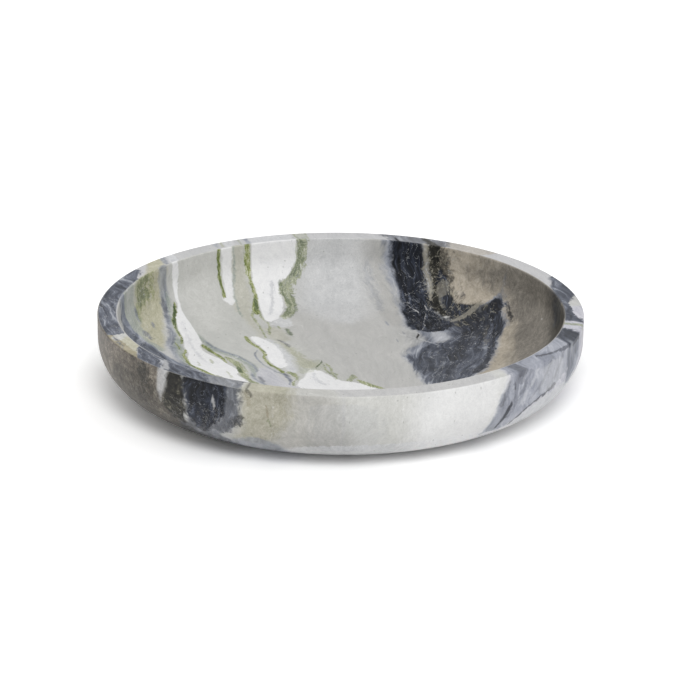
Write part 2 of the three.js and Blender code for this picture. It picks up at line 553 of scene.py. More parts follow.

# The streaks of each mineral, in the order in which the minerals are laid. A few are painted light or shade,
# as marked where they stand.
STREAKS: dict[Mineral, tuple[Streak, ...]] = {
    Mineral.GREENISH: (
        Streak("left_field", (
            (155, -80, -18), (110, -85, -22), (60, -80, -16), (10, -75, -10), (-40, -60, 0),
        ), edge=10, ragged=2, strength=0.45, tip=30),
    ),
    Mineral.WARM: (
        Streak("back_left_pale", (
            (142, -80, -46), (118, -76, -48), (106, -74, -47),
        ), edge=9, fray=2, strength=0.85, tip=40, face=Face.INSIDE),
        SkinStreak("front_warm", ((70, -62, 250), (30, -62, 250), (-4, -70, 250)), edge=10, ragged=2),
    ),
    Mineral.LILAC: (
        Streak("back_rim_field", (
            (165, -140, 140), (60, -140, 150), (0, -150, 160),
        ), edge=3, strength=0.35, face=Face.RIM),
        Streak("lilac_floor", (
            (2, -56, -46), (-10, -58, -43), (-24, -55, -41), (-40, -48, -36),
        ), edge=3, strength=0.7),
        SkinStreak("right_lilac", (
            (70, 116, 250), (50, 110, 250), (25, 100, 250), (-2, 96, 250),
        ), edge=3, fray=1),
        SkinStreak("left_far", (
            (52, -262, -210), (40, -262, -204), (28, -262, -210), (22, -262, -226),
        ), edge=6, fray=1.5, strength=0.7, face=Face.OUTSIDE),
        SkinStreak("wall_oval", ((40, -40.4, -38.8), (37.4, -40.2, -38.8)), edge=0.8, strength=0.8),
    ),
    Mineral.BEIGE: (
        Streak("right_rim_beige", (
            (106, 100, 112), (92, 106, 122), (78, 116, 130),
        ), edge=3, fray=1, strength=0.6, face=Face.RIM),
        Streak("right_wall_beige", (
            (112, 90, 108), (96, 96, 122), (80, 98, 130), (66, 100, 138), (50, 118, 146), (20, 112, 150),
            (-10, 98, 150), (-40, 78, 145), (-70, 72, 120), (-95, 78, 100),
        ), edge=3, ragged=1.6, fray=0.8, face=Face.INSIDE),
        SkinStreak("left_pale", (
            (36, -212, -200), (28, -208, -184), (20, -204, -180), (14, -200, -186),
        ), edge=4, fray=2, drawn=0.4, strength=0.6, face=Face.OUTSIDE),
    ),
    Mineral.OLIVE: (
        Streak("back_olive", (
            (136, -36, -25), (118, -38, -26), (100, -38, -31), (80, -37, -32), (60, -38, -34),
        ), edge=2.5, fray=1.5, strength=0.4),
        Streak("left_wall_olive", (
            (124, -96, -85), (112, -98, -86), (103, -101, -89), (93, -106, -92), (84, -112, -94),
            (74, -116, -96), (64, -117, -98), (56, -113, -100), (47, -108, -102),
        ), edge=2.2, ragged=0.8),
        Streak("olive_smudge", ((72, -30, -21), (60, -31, -19), (48, -29, -20)), edge=3, strength=0.4),
        Streak("olive_right_of_lens", (
            (48, -30, -25), (32, -27, -22), (14, -25, -19), (-2, -26, -14),
        ), edge=2, fray=1.5, strength=0.45),
        SkinStreak("front_cream", (
            (66, -60, -34), (45, -60, -28), (28, -60, -34), (16, -68, -46),
        ), edge=7, fray=2, strength=0.8),
        SkinStreak("rim_cream", (
            (66, -199.4, -164), (60, -199, -157), (57, -198, -152), (54, -197, -147), (49, -196, -138),
        ), edge=1.2, fray=1.2, strength=0.9),
    ),
    Mineral.OCHRE: (
        SkinStreak("rim_ochre", (
            (54, -194, -142), (51.5, -197, -138), (47, -192, -138), (44, -176, -142),
        ), edge=2, fray=1.6, strength=0.65),
        SkinStreak("wall_stain", ((48, -57, -54), (42, -56, -53)), edge=1.5, fray=1.2, strength=0.35),
        SkinStreak("wall_moss_a", (
            (42, -44, -43.2), (39, -43.6, -42), (36, -42.4, -41.4),
        ), edge=0.7, fray=0.5, strength=0.6),
    ),
    Mineral.BROWN: (
        SkinStreak("left_brown", (
            (52, -252, -116), (30, -266, -112), (10, -284, -96), (-4, -296, -80),
        ), edge=5, fray=1, face=Face.OUTSIDE),
    ),
    Mineral.TAUPE: (
        Streak("floor_grey", (
            (36, 24, 48), (10, 12, 44), (-20, 6, 40), (-60, 12, 42),
        ), edge=12, fray=2, drawn=0.5, strength=0.16, tip=20, face=Face.INSIDE),
        Streak("floor_shade", (
            (66, -30, 50), (40, -24, 54), (0, -14, 50), (-50, -10, 46),
        ), edge=16, fray=2, drawn=0.5, strength=0.16, tip=45, face=Face.INSIDE),
        Streak("band_shade", (
            (138, 52, 72), (110, 54, 72), (84, 50, 68), (66, 47, 65),
        ), edge=9, fray=2, drawn=0.6, strength=0.24, tip=20, face=Face.INSIDE),
        # Partly the stone's taupe and partly painted shade: the right inner wall, turned away from the lamp,
        # is painted darker.
        Streak("right_wall_taupe_and_shade", (
            (112, 103, 112), (98, 107, 124), (84, 113, 132), (70, 119, 140), (50, 125, 148), (30, 124, 152),
            (10, 119, 152), (-10, 112, 152), (-30, 103, 150), (-50, 95, 144), (-70, 85, 125),
            (-95, 84, 106),
        ), edge=6, ragged=2, fray=1.2, face=Face.INSIDE),
        Streak("outer_taupe", (
            (140, 94, 110), (100, 102, 136), (60, 116, 156),
        ), edge=6, fray=1.4, drawn=0.6, strength=0.75, face=Face.OUTSIDE),
        # Partly the stone's grey and partly painted shade: the left of the front wall is painted darker,
        # where the light falls off.
        SkinStreak("front_grey_and_shade", (
            (66, -62, -10), (30, -62, 4), (-4, -62, 10),
        ), edge=14, ragged=2, fray=2, strength=0.42, face=Face.OUTSIDE),
        # Painted shade: the rim's upward face is darkened, as it gets less light than the front wall.
        SkinStreak("rim_shade", (
            (70, -62, 100), (50, -62, 100),
        ), edge=6, fray=2, strength=0.13, face=Face.RIM),
    ),
    Mineral.SAGE: (
        Streak("left_lip_sage", (
            (78, -118, -112), (68, -122, -112), (60, -127, -111), (54, -122, -106), (46, -112, -102),
        ), edge=2, fray=1.2, strength=0.8, face=Face.INSIDE),
        Streak("left_sage_band", (
            (106, -88, -84), (90, -89, -87), (66, -92, -88), (56, -96, -89), (44, -97, -90), (32, -96, -93),
            (20, -94, -91.5),
        ), edge=1.4, fray=0.6),
        Streak("sage_right_of_vein", (
            (72, -76, -73), (60, -75, -71.6), (50, -74, -69.4), (40, -71, -64.4), (32, -66.6, -60.6),
            (24, -62, -56.6), (14, -59, -54), (5, -58, -52.8), (-2, -58.6, -54.6), (-8, -60.6, -57.6),
        ), edge=1.2),
        Streak("speckled_line", (
            (135, -34.4, -32.6), (130, -36.6, -34.6), (124, -37.6, -36), (112, -38, -36.8),
            (100, -38.8, -37.6),
        ), edge=0.8, fray=0.8),
    ),
    Mineral.FROST: (
        Streak("back_pale", (
            (142, 14, 56), (120, 8, 54), (104, 5, 49),
        ), edge=12, fray=2, strength=0.6, tip=45, face=Face.INSIDE),
        Streak("rim_vein_white", ((132, -81.4, -75), (112, -81, -77)), edge=1, fray=0.6, face=Face.RIM),
        Streak("rim_frost_a", (
            (156, -38, -31), (138, -39, -33),
        ), edge=1.2, fray=0.6, strength=0.7, face=Face.RIM),
        Streak("rim_frost_b", (
            (156, -20, 10), (138, -20, 8),
        ), edge=1.4, fray=0.8, strength=0.8, face=Face.RIM),
        Streak("frost_patch", (
            (89, -24, -11), (80, -23, -9), (73, -21, -14),
        ), edge=2.4, fray=2, strength=0.7),
        Streak("white_lens_b_soft", (
            (52, -36, -31.6), (44, -34, -28.6), (34, -33, -27), (22, -33, -26.6), (12, -34, -28),
            (2, -36, -29.6), (-7, -37, -31),
        ), edge=2.2, fray=1.2, strength=0.85),
        SkinStreak("front_low", (
            (15, -24, 104), (8, -40, 104), (-6, -60, 106),
        ), edge=5, fray=1.5, strength=0.7),
        # Painted light: a pale band low on the right of the outer wall stands in for light bounced up from
        # the floor.
        SkinStreak("right_low_painted_light", (
            (26, 140, 215), (18, 122, 215), (10, 112, 215), (-4, 104, 215),
        ), edge=4, fray=1.4, drawn=0.4, strength=0.8),
        SkinStreak("rim_cream_white", (
            (66, -197, -182), (60, -195, -178), (56, -187, -176), (53, -182, -177),
        ), edge=2.4, fray=1.6, strength=0.7),
        SkinStreak("pale_stripe", (
            (62, -129, -126), (59, -128, -121), (56, -124, -117), (53, -121, -113), (46, -121, -113.5),
            (42, -121.6, -114.5), (38, -122, -115.6), (34, -121, -117.2), (31, -120.4, -118.8),
        ), edge=1.6, fray=0.5, strength=0.58, drawn=0.12),
    ),
    Mineral.WHITE: (
        Streak("outer_vein", ((150, -82, -76), (100, -83, -77)), edge=0.9, fray=0.5, face=Face.OUTSIDE),
        Streak("outer_white", ((165, -19, 9), (120, -21, 6)), edge=1, fray=0.7, face=Face.OUTSIDE),
        Streak("white_vein", (
            (130, -81, -75.5), (118, -81, -76), (111, -80.6, -78.2), (105, -80, -77.8), (100, -81.2, -77),
            (95, -82.4, -76), (90, -84.4, -75.4), (80, -85.2, -74.6), (66, -86, -75), (55, -87.6, -76.6),
            (45, -88.2, -78), (38, -89.6, -76.6), (30, -91, -73.6), (20, -91, -70.2), (10, -87.6, -67.2),
            (0, -82, -66.6), (-12, -75, -66.2), (-40, -68, -57), (-75, -57, -49),
        ), edge=0.6, ragged=0.3, fray=0.25, face=Face.INSIDE),
        Streak("white_lens_a", (
            (136, -41.8, -35.2), (128, -42.6, -36.2), (122, -43.2, -37.2), (118, -45, -38),
            (114, -42.6, -39),
        ), edge=1.1, ragged=0.4, fray=0.6, strength=0.85, face=Face.INSIDE),
        Streak("white_patch", (
            (140, -20, 12), (139, -20.4, 10.4), (137.4, -21, 8), (135, -21.4, 4.6), (132.6, -21.8, 0),
            (130, -22, -3.6), (120, -21.6, -5), (110, -22.4, -6), (105, -23, -8), (100, -23.6, -10),
            (95, -24.4, -13), (90, -25, -15.6), (86, -24, -19.6),
        ), edge=0.8, ragged=0.3, fray=0.4, face=Face.INSIDE),
        Streak("white_lens_b", (
            (58.5, -43.6, -37.6), (53, -43, -35), (46, -41.6, -32), (40, -40.8, -31), (30, -41, -31),
            (20, -42, -31.4), (10, -42.4, -33), (3, -40.4, -34),
        ), edge=0.9, ragged=0.4, fray=0.4),
        Streak("white_patch_c", (
            (-8.6, -24, -19), (-11, -25.4, -16), (-15, -27, -14.4), (-20, -30, -13), (-25, -34, -11),
            (-30, -37, -9), (-34, -37, -4), (-40, -33, 3), (-46, -27, 7), (-55, -18, 11), (-70, -8, 20),
            (-90, 4, 38), (-120, 20, 56), (-160, 26, 64),
        ), edge=0.9, ragged=0.4, fray=0.5, strength=0.9, face=Face.INSIDE),
        SkinStreak("front_white", (
            (70, 60, 112), (50, 48, 110), (25, 44, 104), (8, 50, 96),
        ), edge=14, fray=2, strength=0.68, face=Face.OUTSIDE),
    ),
    Mineral.SLATE: (
        Streak("left_wall_slate", (
            (62, -128, -121), (56, -129, -115), (50, -128, -109), (42, -125, -105), (34, -122, -101.5),
            (25, -116, -97), (14, -112, -92), (0, -112, -86), (-30, -122, -84), (-65, -128, -92),
            (-95, -118, -92),
        ), edge=1.6, ragged=0.8, fray=1.0, face=Face.INSIDE),
        Streak("left_grey_band", (
            (109, -90, -84.6), (100, -92, -88), (85, -92.4, -88), (75, -93, -88.6), (66, -96, -91.6),
            (60, -98, -93), (50, -99.2, -95), (40, -99, -95.6), (30, -98, -95), (20, -95, -92.4),
        ), edge=1.5, fray=0.8, strength=0.75),
        Streak("left_blotch_a", (
            (78, -114.6, -111), (74, -114.4, -111.6),
        ), edge=1, fray=0.8, strength=0.75),
        Streak("left_blotch_b", ((78, -104, -101.4), (74.6, -103.6, -102)), edge=1, fray=0.6, strength=0.7),
        Streak("white_vein_grey", (
            (88, -81, -79.6), (62, -83, -81.4), (40, -84, -82), (24, -82, -80.4),
        ), edge=1, fray=1, strength=0.22),
        Streak("rim_vein", (
            (130, -86, -83), (112, -86.4, -83),
        ), edge=1, fray=0.8, strength=0.7, face=Face.RIM),
        Streak("slate_vein", (
            (60, -73.4, -72), (50, -71.6, -70), (40, -67.6, -65.2), (33, -63.8, -61.6), (28, -60.8, -58.8),
            (20, -57.6, -56), (10, -55.4, -54), (3, -54.8, -53.4), (-3, -58, -56.4), (-8, -60.4, -58.8),
            (-20, -58.4, -56.4), (-45, -50, -47.5), (-80, -40, -38),
        ), edge=0.9, ragged=0.3, fray=0.3, strength=0.8),
        Streak("rim_grey_a", (
            (156, -46, -43), (138, -45.4, -43),
        ), edge=1, fray=0.6, strength=0.55, face=Face.RIM),
        Streak("rim_slate_b", (
            (156, -23.2, -20.6), (138, -23.2, -21),
        ), fray=0.4, strength=0.75, face=Face.RIM),
        Streak("white_patch_grey", (
            (131, -9, -7), (122, -11.6, -9.6), (115, -14, -11.6), (108, -16.4, -14.2), (99, -19.6, -17.6),
        ), edge=1.2, fray=1.2, strength=0.3),
        Streak("slate_line_c", (
            (34, -45.4, -44.4), (28, -48.6, -47.4), (20, -49.3, -48.1), (12, -48.9, -47.7),
            (5, -47.1, -45.9), (0, -45.6, -44.4), (-5, -44.1, -42.9), (-12, -40.6, -38.8),
            (-20, -40, -38.2), (-28, -42.6, -41.4),
        ), edge=0.6, ragged=0.2, fray=0.2, strength=0.85),
        Streak("white_patch_c_grey", (
            (-14, -22, -20.4), (-24, -24, -22), (-34, -20, -17),
        ), edge=1.2, fray=1.2, strength=0.28, face=Face.INSIDE),
        Streak("band_halo", (
            (124, 66, 82), (112, 67.5, 86), (100, 68, 88), (90, 67, 87), (80, 65, 86), (70, 62.5, 86),
            (60, 61, 88), (50, 60.5, 90), (45, 62, 90),
        ), edge=3.4, fray=0.6, strength=0.9, drawn=0.6, face=Face.INSIDE),
        Streak("band_smudge", (
            (126, 54, 57), (112, 54, 58), (98, 53, 57), (86, 52, 55),
        ), edge=2.4, fray=2.6, strength=0.32, face=Face.INSIDE),
        Streak("floor_halo", (
            (56, 98, 125), (50, 76, 126), (46, 66, 125), (40, 63, 124), (32, 66, 122), (22, 61, 117),
            (14, 52, 112), (6, 46, 108), (-4, 42.6, 103), (-14, 41.6, 98), (-26, 41, 91.6), (-36, 40.4, 83),
            (-46, 40, 73), (-60, 42, 66), (-90, 50, 76), (-128, 60, 86), (-150, 58, 84),
        ), edge=3, ragged=0.8, fray=0.8, drawn=0.6, strength=0.9, face=Face.INSIDE),
        Streak("grey_oval_a", ((64, 49.6, 51), (60, 49.2, 50.8)), edge=0.8, strength=0.7),
        Streak("grey_oval_b", ((30, 46.6, 47.6), (27, 46.4, 47.4)), edge=0.8, strength=0.6),
        Streak("grey_oval_c", ((43, 55, 56), (40, 54.8, 55.8)), edge=0.8, strength=0.5),
        SkinStreak("front_mottle", (
            (44, -16, 18), (30, -18, 26), (14, -14, 22),
        ), edge=6, fray=4, drawn=1, strength=0.14, face=Face.OUTSIDE),
        SkinStreak("low_lilac", (
            (18, -58, -44), (12, -72, -36), (4, -76, -30), (-6, -80, -20),
        ), edge=4, fray=1, strength=0.65, face=Face.OUTSIDE, drawn=0.5),
        SkinStreak("wall_slate", (
            (66, 118, 143), (56, 114, 145), (51, 113, 181), (45, 110.5, 181), (40, 105.5, 178),
            (35, 103.5, 168), (30, 102, 150), (25, 100, 131), (20, 98, 124), (15, 96.5, 118), (10, 97, 114),
            (4, 100, 112),
        ), edge=2.2, fray=0.8, strength=0.7, drawn=0.5),
        SkinStreak("wall_slate_verticals", (
            (50.6, 172, 201), (42, 172, 199), (35, 173, 196), (29, 174, 190), (25, 176, 180),
        ), edge=2.4, fray=1.8, strength=0.85),
        SkinStreak("rim_slate_mid", (
            (66, 116, 186), (50, 114, 183),
        ), edge=2.4, fray=1.2, drawn=0.6, strength=0.78, face=Face.RIM),
    ),
    Mineral.NIGHT: (
        Streak("outer_band_halo", (
            (165, 62, 94), (60, 68, 102),
        ), edge=4, fray=1.4, drawn=1, strength=0.6, face=Face.OUTSIDE),
        Streak("left_rim_slate", (
            (106, -117, -104), (95, -123, -107), (85, -129, -112), (75, -135, -118), (65, -139, -123),
            (55, -144, -128), (40, -152, -134), (20, -158, -139), (-6, -158, -139),
        ), edge=1.6, ragged=0.8, fray=1.2, face=Face.RIM),
        Streak("left_wall_dark", (
            (55, -129, -119), (50, -129, -112), (44, -127, -108), (38, -124, -105.5), (32, -121, -104),
            (24, -117, -102),
        ), edge=2, fray=0.8, strength=0.7, face=Face.INSIDE, drawn=0.4),
        Streak("left_band_dark", (
            (102, -91, -88.4), (90, -92.2, -89.4), (80, -93, -90), (72, -93.6, -90.4), (63, -97, -92.6),
            (55, -99, -96),
        ), edge=1.2, fray=0.8, drawn=0.2, strength=0.5),
        Streak("left_blotch_c", ((65, -112.6, -108), (61, -111.6, -107)), edge=1.2, fray=0.9, strength=0.7),
        Streak("left_blotch_d", (
            (74.5, -92.4, -90.8), (71.5, -92.4, -90.8),
        ), edge=0.8, fray=0.5, strength=0.6),
        Streak("slate_spot", (
            (-11, -57.4, -55.6), (-16, -57.6, -55), (-20, -57.2, -55.6),
        ), edge=1, strength=0.6),
        Streak("slate_spot_c", (
            (-10, -40, -38.2), (-16, -40, -37.4), (-22, -40.2, -38.2),
        ), edge=0.9, strength=0.55),
        Streak("speckled_spot", (
            (50, -27.6, -26.4), (45, -26.2, -23.4), (41, -25.4, -22.6), (37, -24.6, -22.6),
        ), edge=0.9, fray=1.0, strength=0.6),
        Streak("band_rim", (
            (135, 67, 74), (127, 71, 86), (115, 76, 101), (104, 90, 105), (99, 96, 104),
        ), edge=2, fray=1.2, strength=0.75, face=Face.RIM),
        Streak("floor_dark", (
            (54, 99, 124), (46, 90, 124.6), (38, 84, 122), (28, 82, 119.6), (20, 72, 115), (12, 58, 109.4),
            (6, 52, 106), (0, 47, 103), (-10, 44, 98), (-20, 43.4, 92.6), (-30, 43.4, 86.4),
            (-38, 43, 79.6), (-46, 43, 71), (-60, 46, 62),
        ), edge=2.4, ragged=0.8, fray=0.8, drawn=1, face=Face.INSIDE),
        Streak("floor_left_haze", (
            (46, 60, 70), (36, 58, 70), (24, 54, 70), (12, 48, 62), (0, 43, 54),
        ), edge=4, fray=1.4, drawn=1, strength=0.34, face=Face.INSIDE),
        Streak("right_rim_slate", (
            (22, 147, 156), (10, 144, 156), (0, 141, 156), (-10, 139, 154), (-18, 138, 148),
            (-25, 137, 143.6),
        ), edge=1.4, fray=0.8),
        SkinStreak("rim_slate_left", (
            (70, -262, -199.6), (51, -262, -197.6),
        ), edge=1.6, fray=1.2, face=Face.RIM),
        SkinStreak("rim_slate_front_left", (
            (66, -163, -62), (60, -157, -62), (57, -152, -61), (54, -147, -61), (51, -140, -60),
        ), edge=1.2, fray=1.4, face=Face.RIM),
        SkinStreak("grey_margin", (
            (53, -74, -60), (45, -74, -60), (38, -78, -60.6), (32, -84, -60), (26, -97, -64),
            (20, -100, -68), (14, -112, -75), (6, -112, -66),
        ), edge=2.6, fray=1.2, drawn=0.5, strength=0.78, face=Face.OUTSIDE),
        SkinStreak("rim_slate_right", ((66, 189, 208), (58, 183, 205), (50, 177, 201)), edge=1.2, fray=1.2),
        SkinStreak("rim_slate_far", (
            (66, 221, 258), (60, 221, 258), (57, 220.5, 232), (51, 219, 223),
        ), edge=1.2, fray=0.8),
    ),
    Mineral.UMBER: (
        # Painted shade: darkens the right inner wall, which faces away from the lamp.
        Streak("right_wall_shade", (
            (30, 143, 154), (10, 141.6, 154), (-10, 137, 153), (-30, 129, 150), (-50, 118, 146),
        ), edge=4, fray=1, strength=0.75, face=Face.INSIDE),
        Streak("umber_lumps_a", (
            (120, 92, 97), (106, 91.4, 97.6), (100, 91.6, 99), (94, 91, 99.6), (88, 88.6, 99),
            (80, 84.6, 93), (72, 86, 93), (64, 88, 94),
        ), edge=1.4, fray=1.2),
        Streak("lump_field", (
            (106, 91, 99), (98, 89, 102), (90, 86, 103.6), (82, 84, 102.6), (74, 84, 103), (66, 86, 107),
            (60, 90, 115), (54, 96, 119),
        ), edge=2.6, fray=2.4, drawn=0.5, strength=0.8, face=Face.INSIDE),
        Streak("umber_ridge", (
            (60, 100, 112), (55, 92, 118), (50, 84, 116), (46, 82, 108),
        ), edge=1.6, fray=1.2, strength=0.8),
        Streak("dark_dash", (
            (36, 63, 64.2), (32, 61, 62.6), (28, 59.6, 60.6),
        ), edge=0.6, ragged=0.2, fray=0.3),
        SkinStreak("olive_black_wedge", (
            (50.6, -113, -100), (45, -114, -99), (40, -115, -98), (35, -117, -98), (30, -118, -98),
            (25, -116, -101), (20, -108, -100),
        ), edge=2.6, fray=1, face=Face.OUTSIDE, drawn=0.3),
        SkinStreak("pepper_a", (
            (48, -140, -130), (43, -143, -129), (38, -138, -130),
        ), edge=1.6, fray=2.6, strength=0.7, face=Face.OUTSIDE),
        SkinStreak("pepper_b", (
            (38, -149, -138), (32, -150, -124), (26, -146, -122),
        ), edge=3, fray=2.8, strength=0.5, face=Face.OUTSIDE),
        SkinStreak("left_outer_dark", (
            (38, -172, -128), (28, -182, -112), (18, -206, -100), (8, -236, -88), (-4, -244, -80),
        ), edge=7, ragged=2, fray=2.2, drawn=0.4, strength=0.5, face=Face.OUTSIDE),
        SkinStreak("left_outer_low", (
            (13, -230, -96), (8, -238, -84), (-4, -246, -64),
        ), edge=6, fray=2, strength=0.62, face=Face.OUTSIDE),
        SkinStreak("margin_dark_low", (
            (34, -60.6, -58.6), (31, -65, -58.6), (28, -66, -60), (26, -64.6, -62),
        ), edge=1.4, fray=1.6, strength=0.65, face=Face.OUTSIDE),
        SkinStreak("rim_moss_line", (
            (63, -59, -57.8), (57, -58, -56.6), (51.5, -56.6, -55), (49.4, -55.6, -52.8), (47, -54, -52),
        ), edge=0.9, ragged=0.1, fray=0.5, strength=0.6, tip=1.5),
    ),
    Mineral.CHARCOAL: (
        Streak("outer_band", (
            (165, 69, 86), (110, 71, 92), (60, 78, 98),
        ), edge=2.4, fray=1.2, drawn=0.8, face=Face.OUTSIDE),
        Streak("band_dark", (
            (126, 70.5, 84), (118, 71, 86), (110, 71.5, 89), (104, 71, 90), (97, 70.5, 89.6),
            (90, 69.5, 88.4), (83, 67.6, 87.4), (75, 65.6, 86.6), (66, 64, 87.4), (58, 62.4, 89),
            (51, 61.6, 90.6), (47, 62.4, 91), (43, 66, 88), (39.5, 69, 82),
        ), edge=2, ragged=0.5, fray=0.7, drawn=0.3, face=Face.INSIDE),
        Streak("umber_lumps_b", (
            (97, 94.6, 99.6), (88, 94.6, 101.4), (80, 93.6, 100), (71, 92, 103), (65, 91.4, 107),
            (60, 91.4, 110), (56, 93, 107),
        ), edge=1.4, fray=1.6, strength=0.95, face=Face.INSIDE),
        Streak("floor_core", (
            (50, 96, 120), (42, 94, 118), (34, 92, 115), (26, 90, 110), (18, 86, 104), (11, 80, 98),
            (5, 74, 92), (0, 70, 87), (-6, 67, 83), (-14, 62, 77),
        ), edge=2.6, fray=1, drawn=0.8, strength=0.85, face=Face.INSIDE),
        Streak("floor_core_low", (
            (-6, 54, 74), (-20, 49, 70), (-34, 47, 65), (-52, 46, 58),
        ), edge=3, fray=1.2, drawn=1, strength=0.5, face=Face.INSIDE),
        Streak("floor_edge", (
            (54, 117, 123.6), (47, 114.6, 124.4), (40, 112.6, 121.6), (32, 113, 120), (24, 110, 116.6),
            (16, 107, 111.6), (8, 103, 107), (0, 99, 103), (-10, 94, 98), (-20, 88.4, 93), (-30, 82, 87),
            (-38, 75, 80),
        ), edge=1.4, fray=0.7, strength=0.9, face=Face.INSIDE, drawn=0.3),
        SkinStreak("blue_black", (
            (51.6, -100, -69), (45, -100, -69), (40, -98.6, -69), (35, -97.6, -70), (30, -98, -73),
            (25, -97, -78), (20, -94, -84), (16, -91, -88),
        ), edge=2.4, fray=1, face=Face.OUTSIDE, drawn=0.4),
        SkinStreak("margin_specks", (
            (50, -69, -60.4), (40, -70, -61), (30, -76, -62), (22, -84, -72),
        ), edge=2, fray=2.4, strength=0.35, face=Face.OUTSIDE),
        SkinStreak("low_dark", (
            (13, -96, -82), (8, -104, -76), (2, -110, -70), (-6, -110, -60),
        ), edge=3, fray=1, strength=0.4, face=Face.OUTSIDE, drawn=0.5),
        SkinStreak("wall_dark_line", (
            (16, 118.6, 120.6), (20, 122.6, 126), (24, 127.8, 132), (26, 131.4, 137.4), (28, 138, 145.4),
            (30, 145.6, 155.4), (32, 153, 159.4),
        ), edge=0.9, ragged=0.3, fray=0.9, strength=0.7),
        SkinStreak("wall_dark_speck", (
            (44, 115.2, 116), (41, 115, 116.2), (39.6, 115.4, 116),
        ), fray=0.3, strength=0.75),
        SkinStreak("wall_smear_a", (
            (46, 110.5, 112.5), (40, 107, 109.6), (34, 104, 106.6),
        ), edge=1.4, fray=1, strength=0.4),
        SkinStreak("wall_smear_b", (
            (43, 113, 118), (38, 114, 119), (34, 113, 117),
        ), edge=1.8, fray=1.4, strength=0.35),
        SkinStreak("wall_smear_c", (
            (51, 118, 127), (45, 116, 124),
        ), edge=1.8, fray=1.4, strength=0.35, face=Face.OUTSIDE),
        SkinStreak("wall_smear_d", (
            (48, 128, 132), (40, 122, 126), (32, 116, 119), (24, 112, 114),
        ), edge=1.4, fray=1.2, drawn=0.3, strength=0.34, face=Face.OUTSIDE),
        SkinStreak("wall_smear_e", (
            (48, 150, 153), (42, 144, 147), (36, 137, 140), (31, 131, 133),
        ), edge=1.2, fray=1.2, drawn=0.3, strength=0.3, face=Face.OUTSIDE),
        SkinStreak("wall_smear_f", (
            (50, 167, 171), (43, 161, 164.6), (37, 155, 157.6),
        ), edge=1.4, fray=1.2, drawn=0.3, strength=0.34, face=Face.OUTSIDE),
        SkinStreak("wall_dark_verticals", (
            (50.6, 174, 194), (40, 174, 190), (30, 175, 180),
        ), edge=2, fray=1, strength=0.36),
        SkinStreak("rim_dark_right", (
            (66, 120, 128), (57, 119.6, 128), (49, 118, 126.6),
        ), edge=1.8, fray=1, strength=0.55),
        SkinStreak("rim_line", (
            (59.5, 147, 150.5), (57.5, 149.5, 155), (55.5, 153.5, 160), (53.5, 159, 168), (52, 165, 181),
        ), edge=0.9, ragged=0.3, fray=0.6, strength=0.65),
        SkinStreak("rim_dark_right_b", (
            (66, 191, 206), (58, 186, 203), (51, 181, 199),
        ), edge=2, fray=1.6, strength=0.45),
    ),
    Mineral.MOSS: (
        Streak("outer_moss_a", (
            (165, 11, 19), (120, 9, 17),
        ), edge=1, fray=1.4, strength=0.6, face=Face.OUTSIDE),
        Streak("outer_moss_b", ((165, -25, -22), (120, -26, -22.6)), edge=0.7, fray=0.6, face=Face.OUTSIDE),
        Streak("left_moss", (
            (102, -97.6, -95.4), (98, -101, -98.6), (94, -105, -102.4), (90, -108.6, -105.6),
            (86, -111.6, -108), (81, -113, -109.6), (76, -112.6, -110.6),
        ), edge=0.9, fray=1, drawn=0.2, strength=0.5, face=Face.INSIDE),
        Streak("moss_left_of_vein", (
            (104, -83, -81.2), (98, -84.2, -81.8), (92, -86, -83.4), (86, -88, -85.2), (80, -88, -85.6),
            (70, -87.6, -86), (60, -88.6, -87.2),
        ), edge=0.6, fray=0.5, face=Face.INSIDE),
        Streak("moss_left_of_vein_low", (
            (47, -89.6, -87.8), (42, -91, -89.4), (36, -93.2, -91.4), (24, -93, -91), (16, -91, -89),
            (9, -88.6, -86), (2, -85.8, -83), (-6, -80, -77.6),
        ), edge=0.6),
        Streak("moss_spot_by_band", ((58, -93.4, -91.8), (50, -92.8, -91.2)), strength=0.8),
        Streak("moss_in_vein_a", ((26, -79, -77.4), (21, -78.6, -77.2)), fray=0.5, strength=0.5),
        Streak("moss_in_vein_b", ((24, -87.4, -86.4), (19, -87.2, -86.4)), fray=0.5, strength=0.5),
        Streak("moss_in_vein_c", ((3, -73.6, -72.4), (-8, -73.4, -72.4)), fray=0.5, strength=0.5),
        Streak("moss_right_of_vein", (
            (53, -77, -74.6), (48, -76, -73.2), (43, -75.4, -72.6), (38, -74, -71.6), (33, -72.5, -70),
            (28, -71.5, -69.2), (22, -70.4, -68.6), (19, -70, -68.6),
        ), edge=0.6),
        Streak("moss_right_of_vein_low", (
            (28, -68.6, -66.4), (20, -67, -62.6), (12, -65.8, -61), (4, -66, -61.6), (-4, -66, -61.6),
            (-12, -65.6, -62), (-20, -62.8, -59.6), (-38, -57, -54.6),
        ), edge=0.7, fray=0.5, strength=0.75),
        Streak("moss_thread", (
            (15, -60.9, -60), (6, -61.1, -60.2), (0, -60.9, -60),
        ), edge=0.5, strength=0.6),
        Streak("rim_moss_a", ((156, -41.4, -39.4), (138, -41.4, -39.4)), strength=0.4, face=Face.RIM),
        Streak("rim_moss_b", ((156, -28.6, -27), (138, -28, -26.6)), strength=0.35, face=Face.RIM),
        Streak("rim_moss_field", (
            (158, 11, 20.4), (138, 10.6, 19.6),
        ), edge=1, fray=0.8, strength=0.3, face=Face.RIM),
        Streak("rim_moss_c", ((158, 11.4, 13), (138, 11, 12.6)), edge=0.6, strength=0.6, face=Face.RIM),
        Streak("rim_moss_d", ((158, 19.2, 20.4), (138, 19, 20)), edge=0.6, strength=0.55, face=Face.RIM),
        Streak("moss_line_a", (
            (133, -46, -43.4), (128, -45.6, -43.4), (121, -45, -43.2),
        ), edge=0.5, fray=0.4, face=Face.INSIDE),
        Streak("moss_b", (
            (139, -26, -22), (134, -25, -22.4), (124, -24, -21.6), (118, -25.4, -22), (112, -27, -22.4),
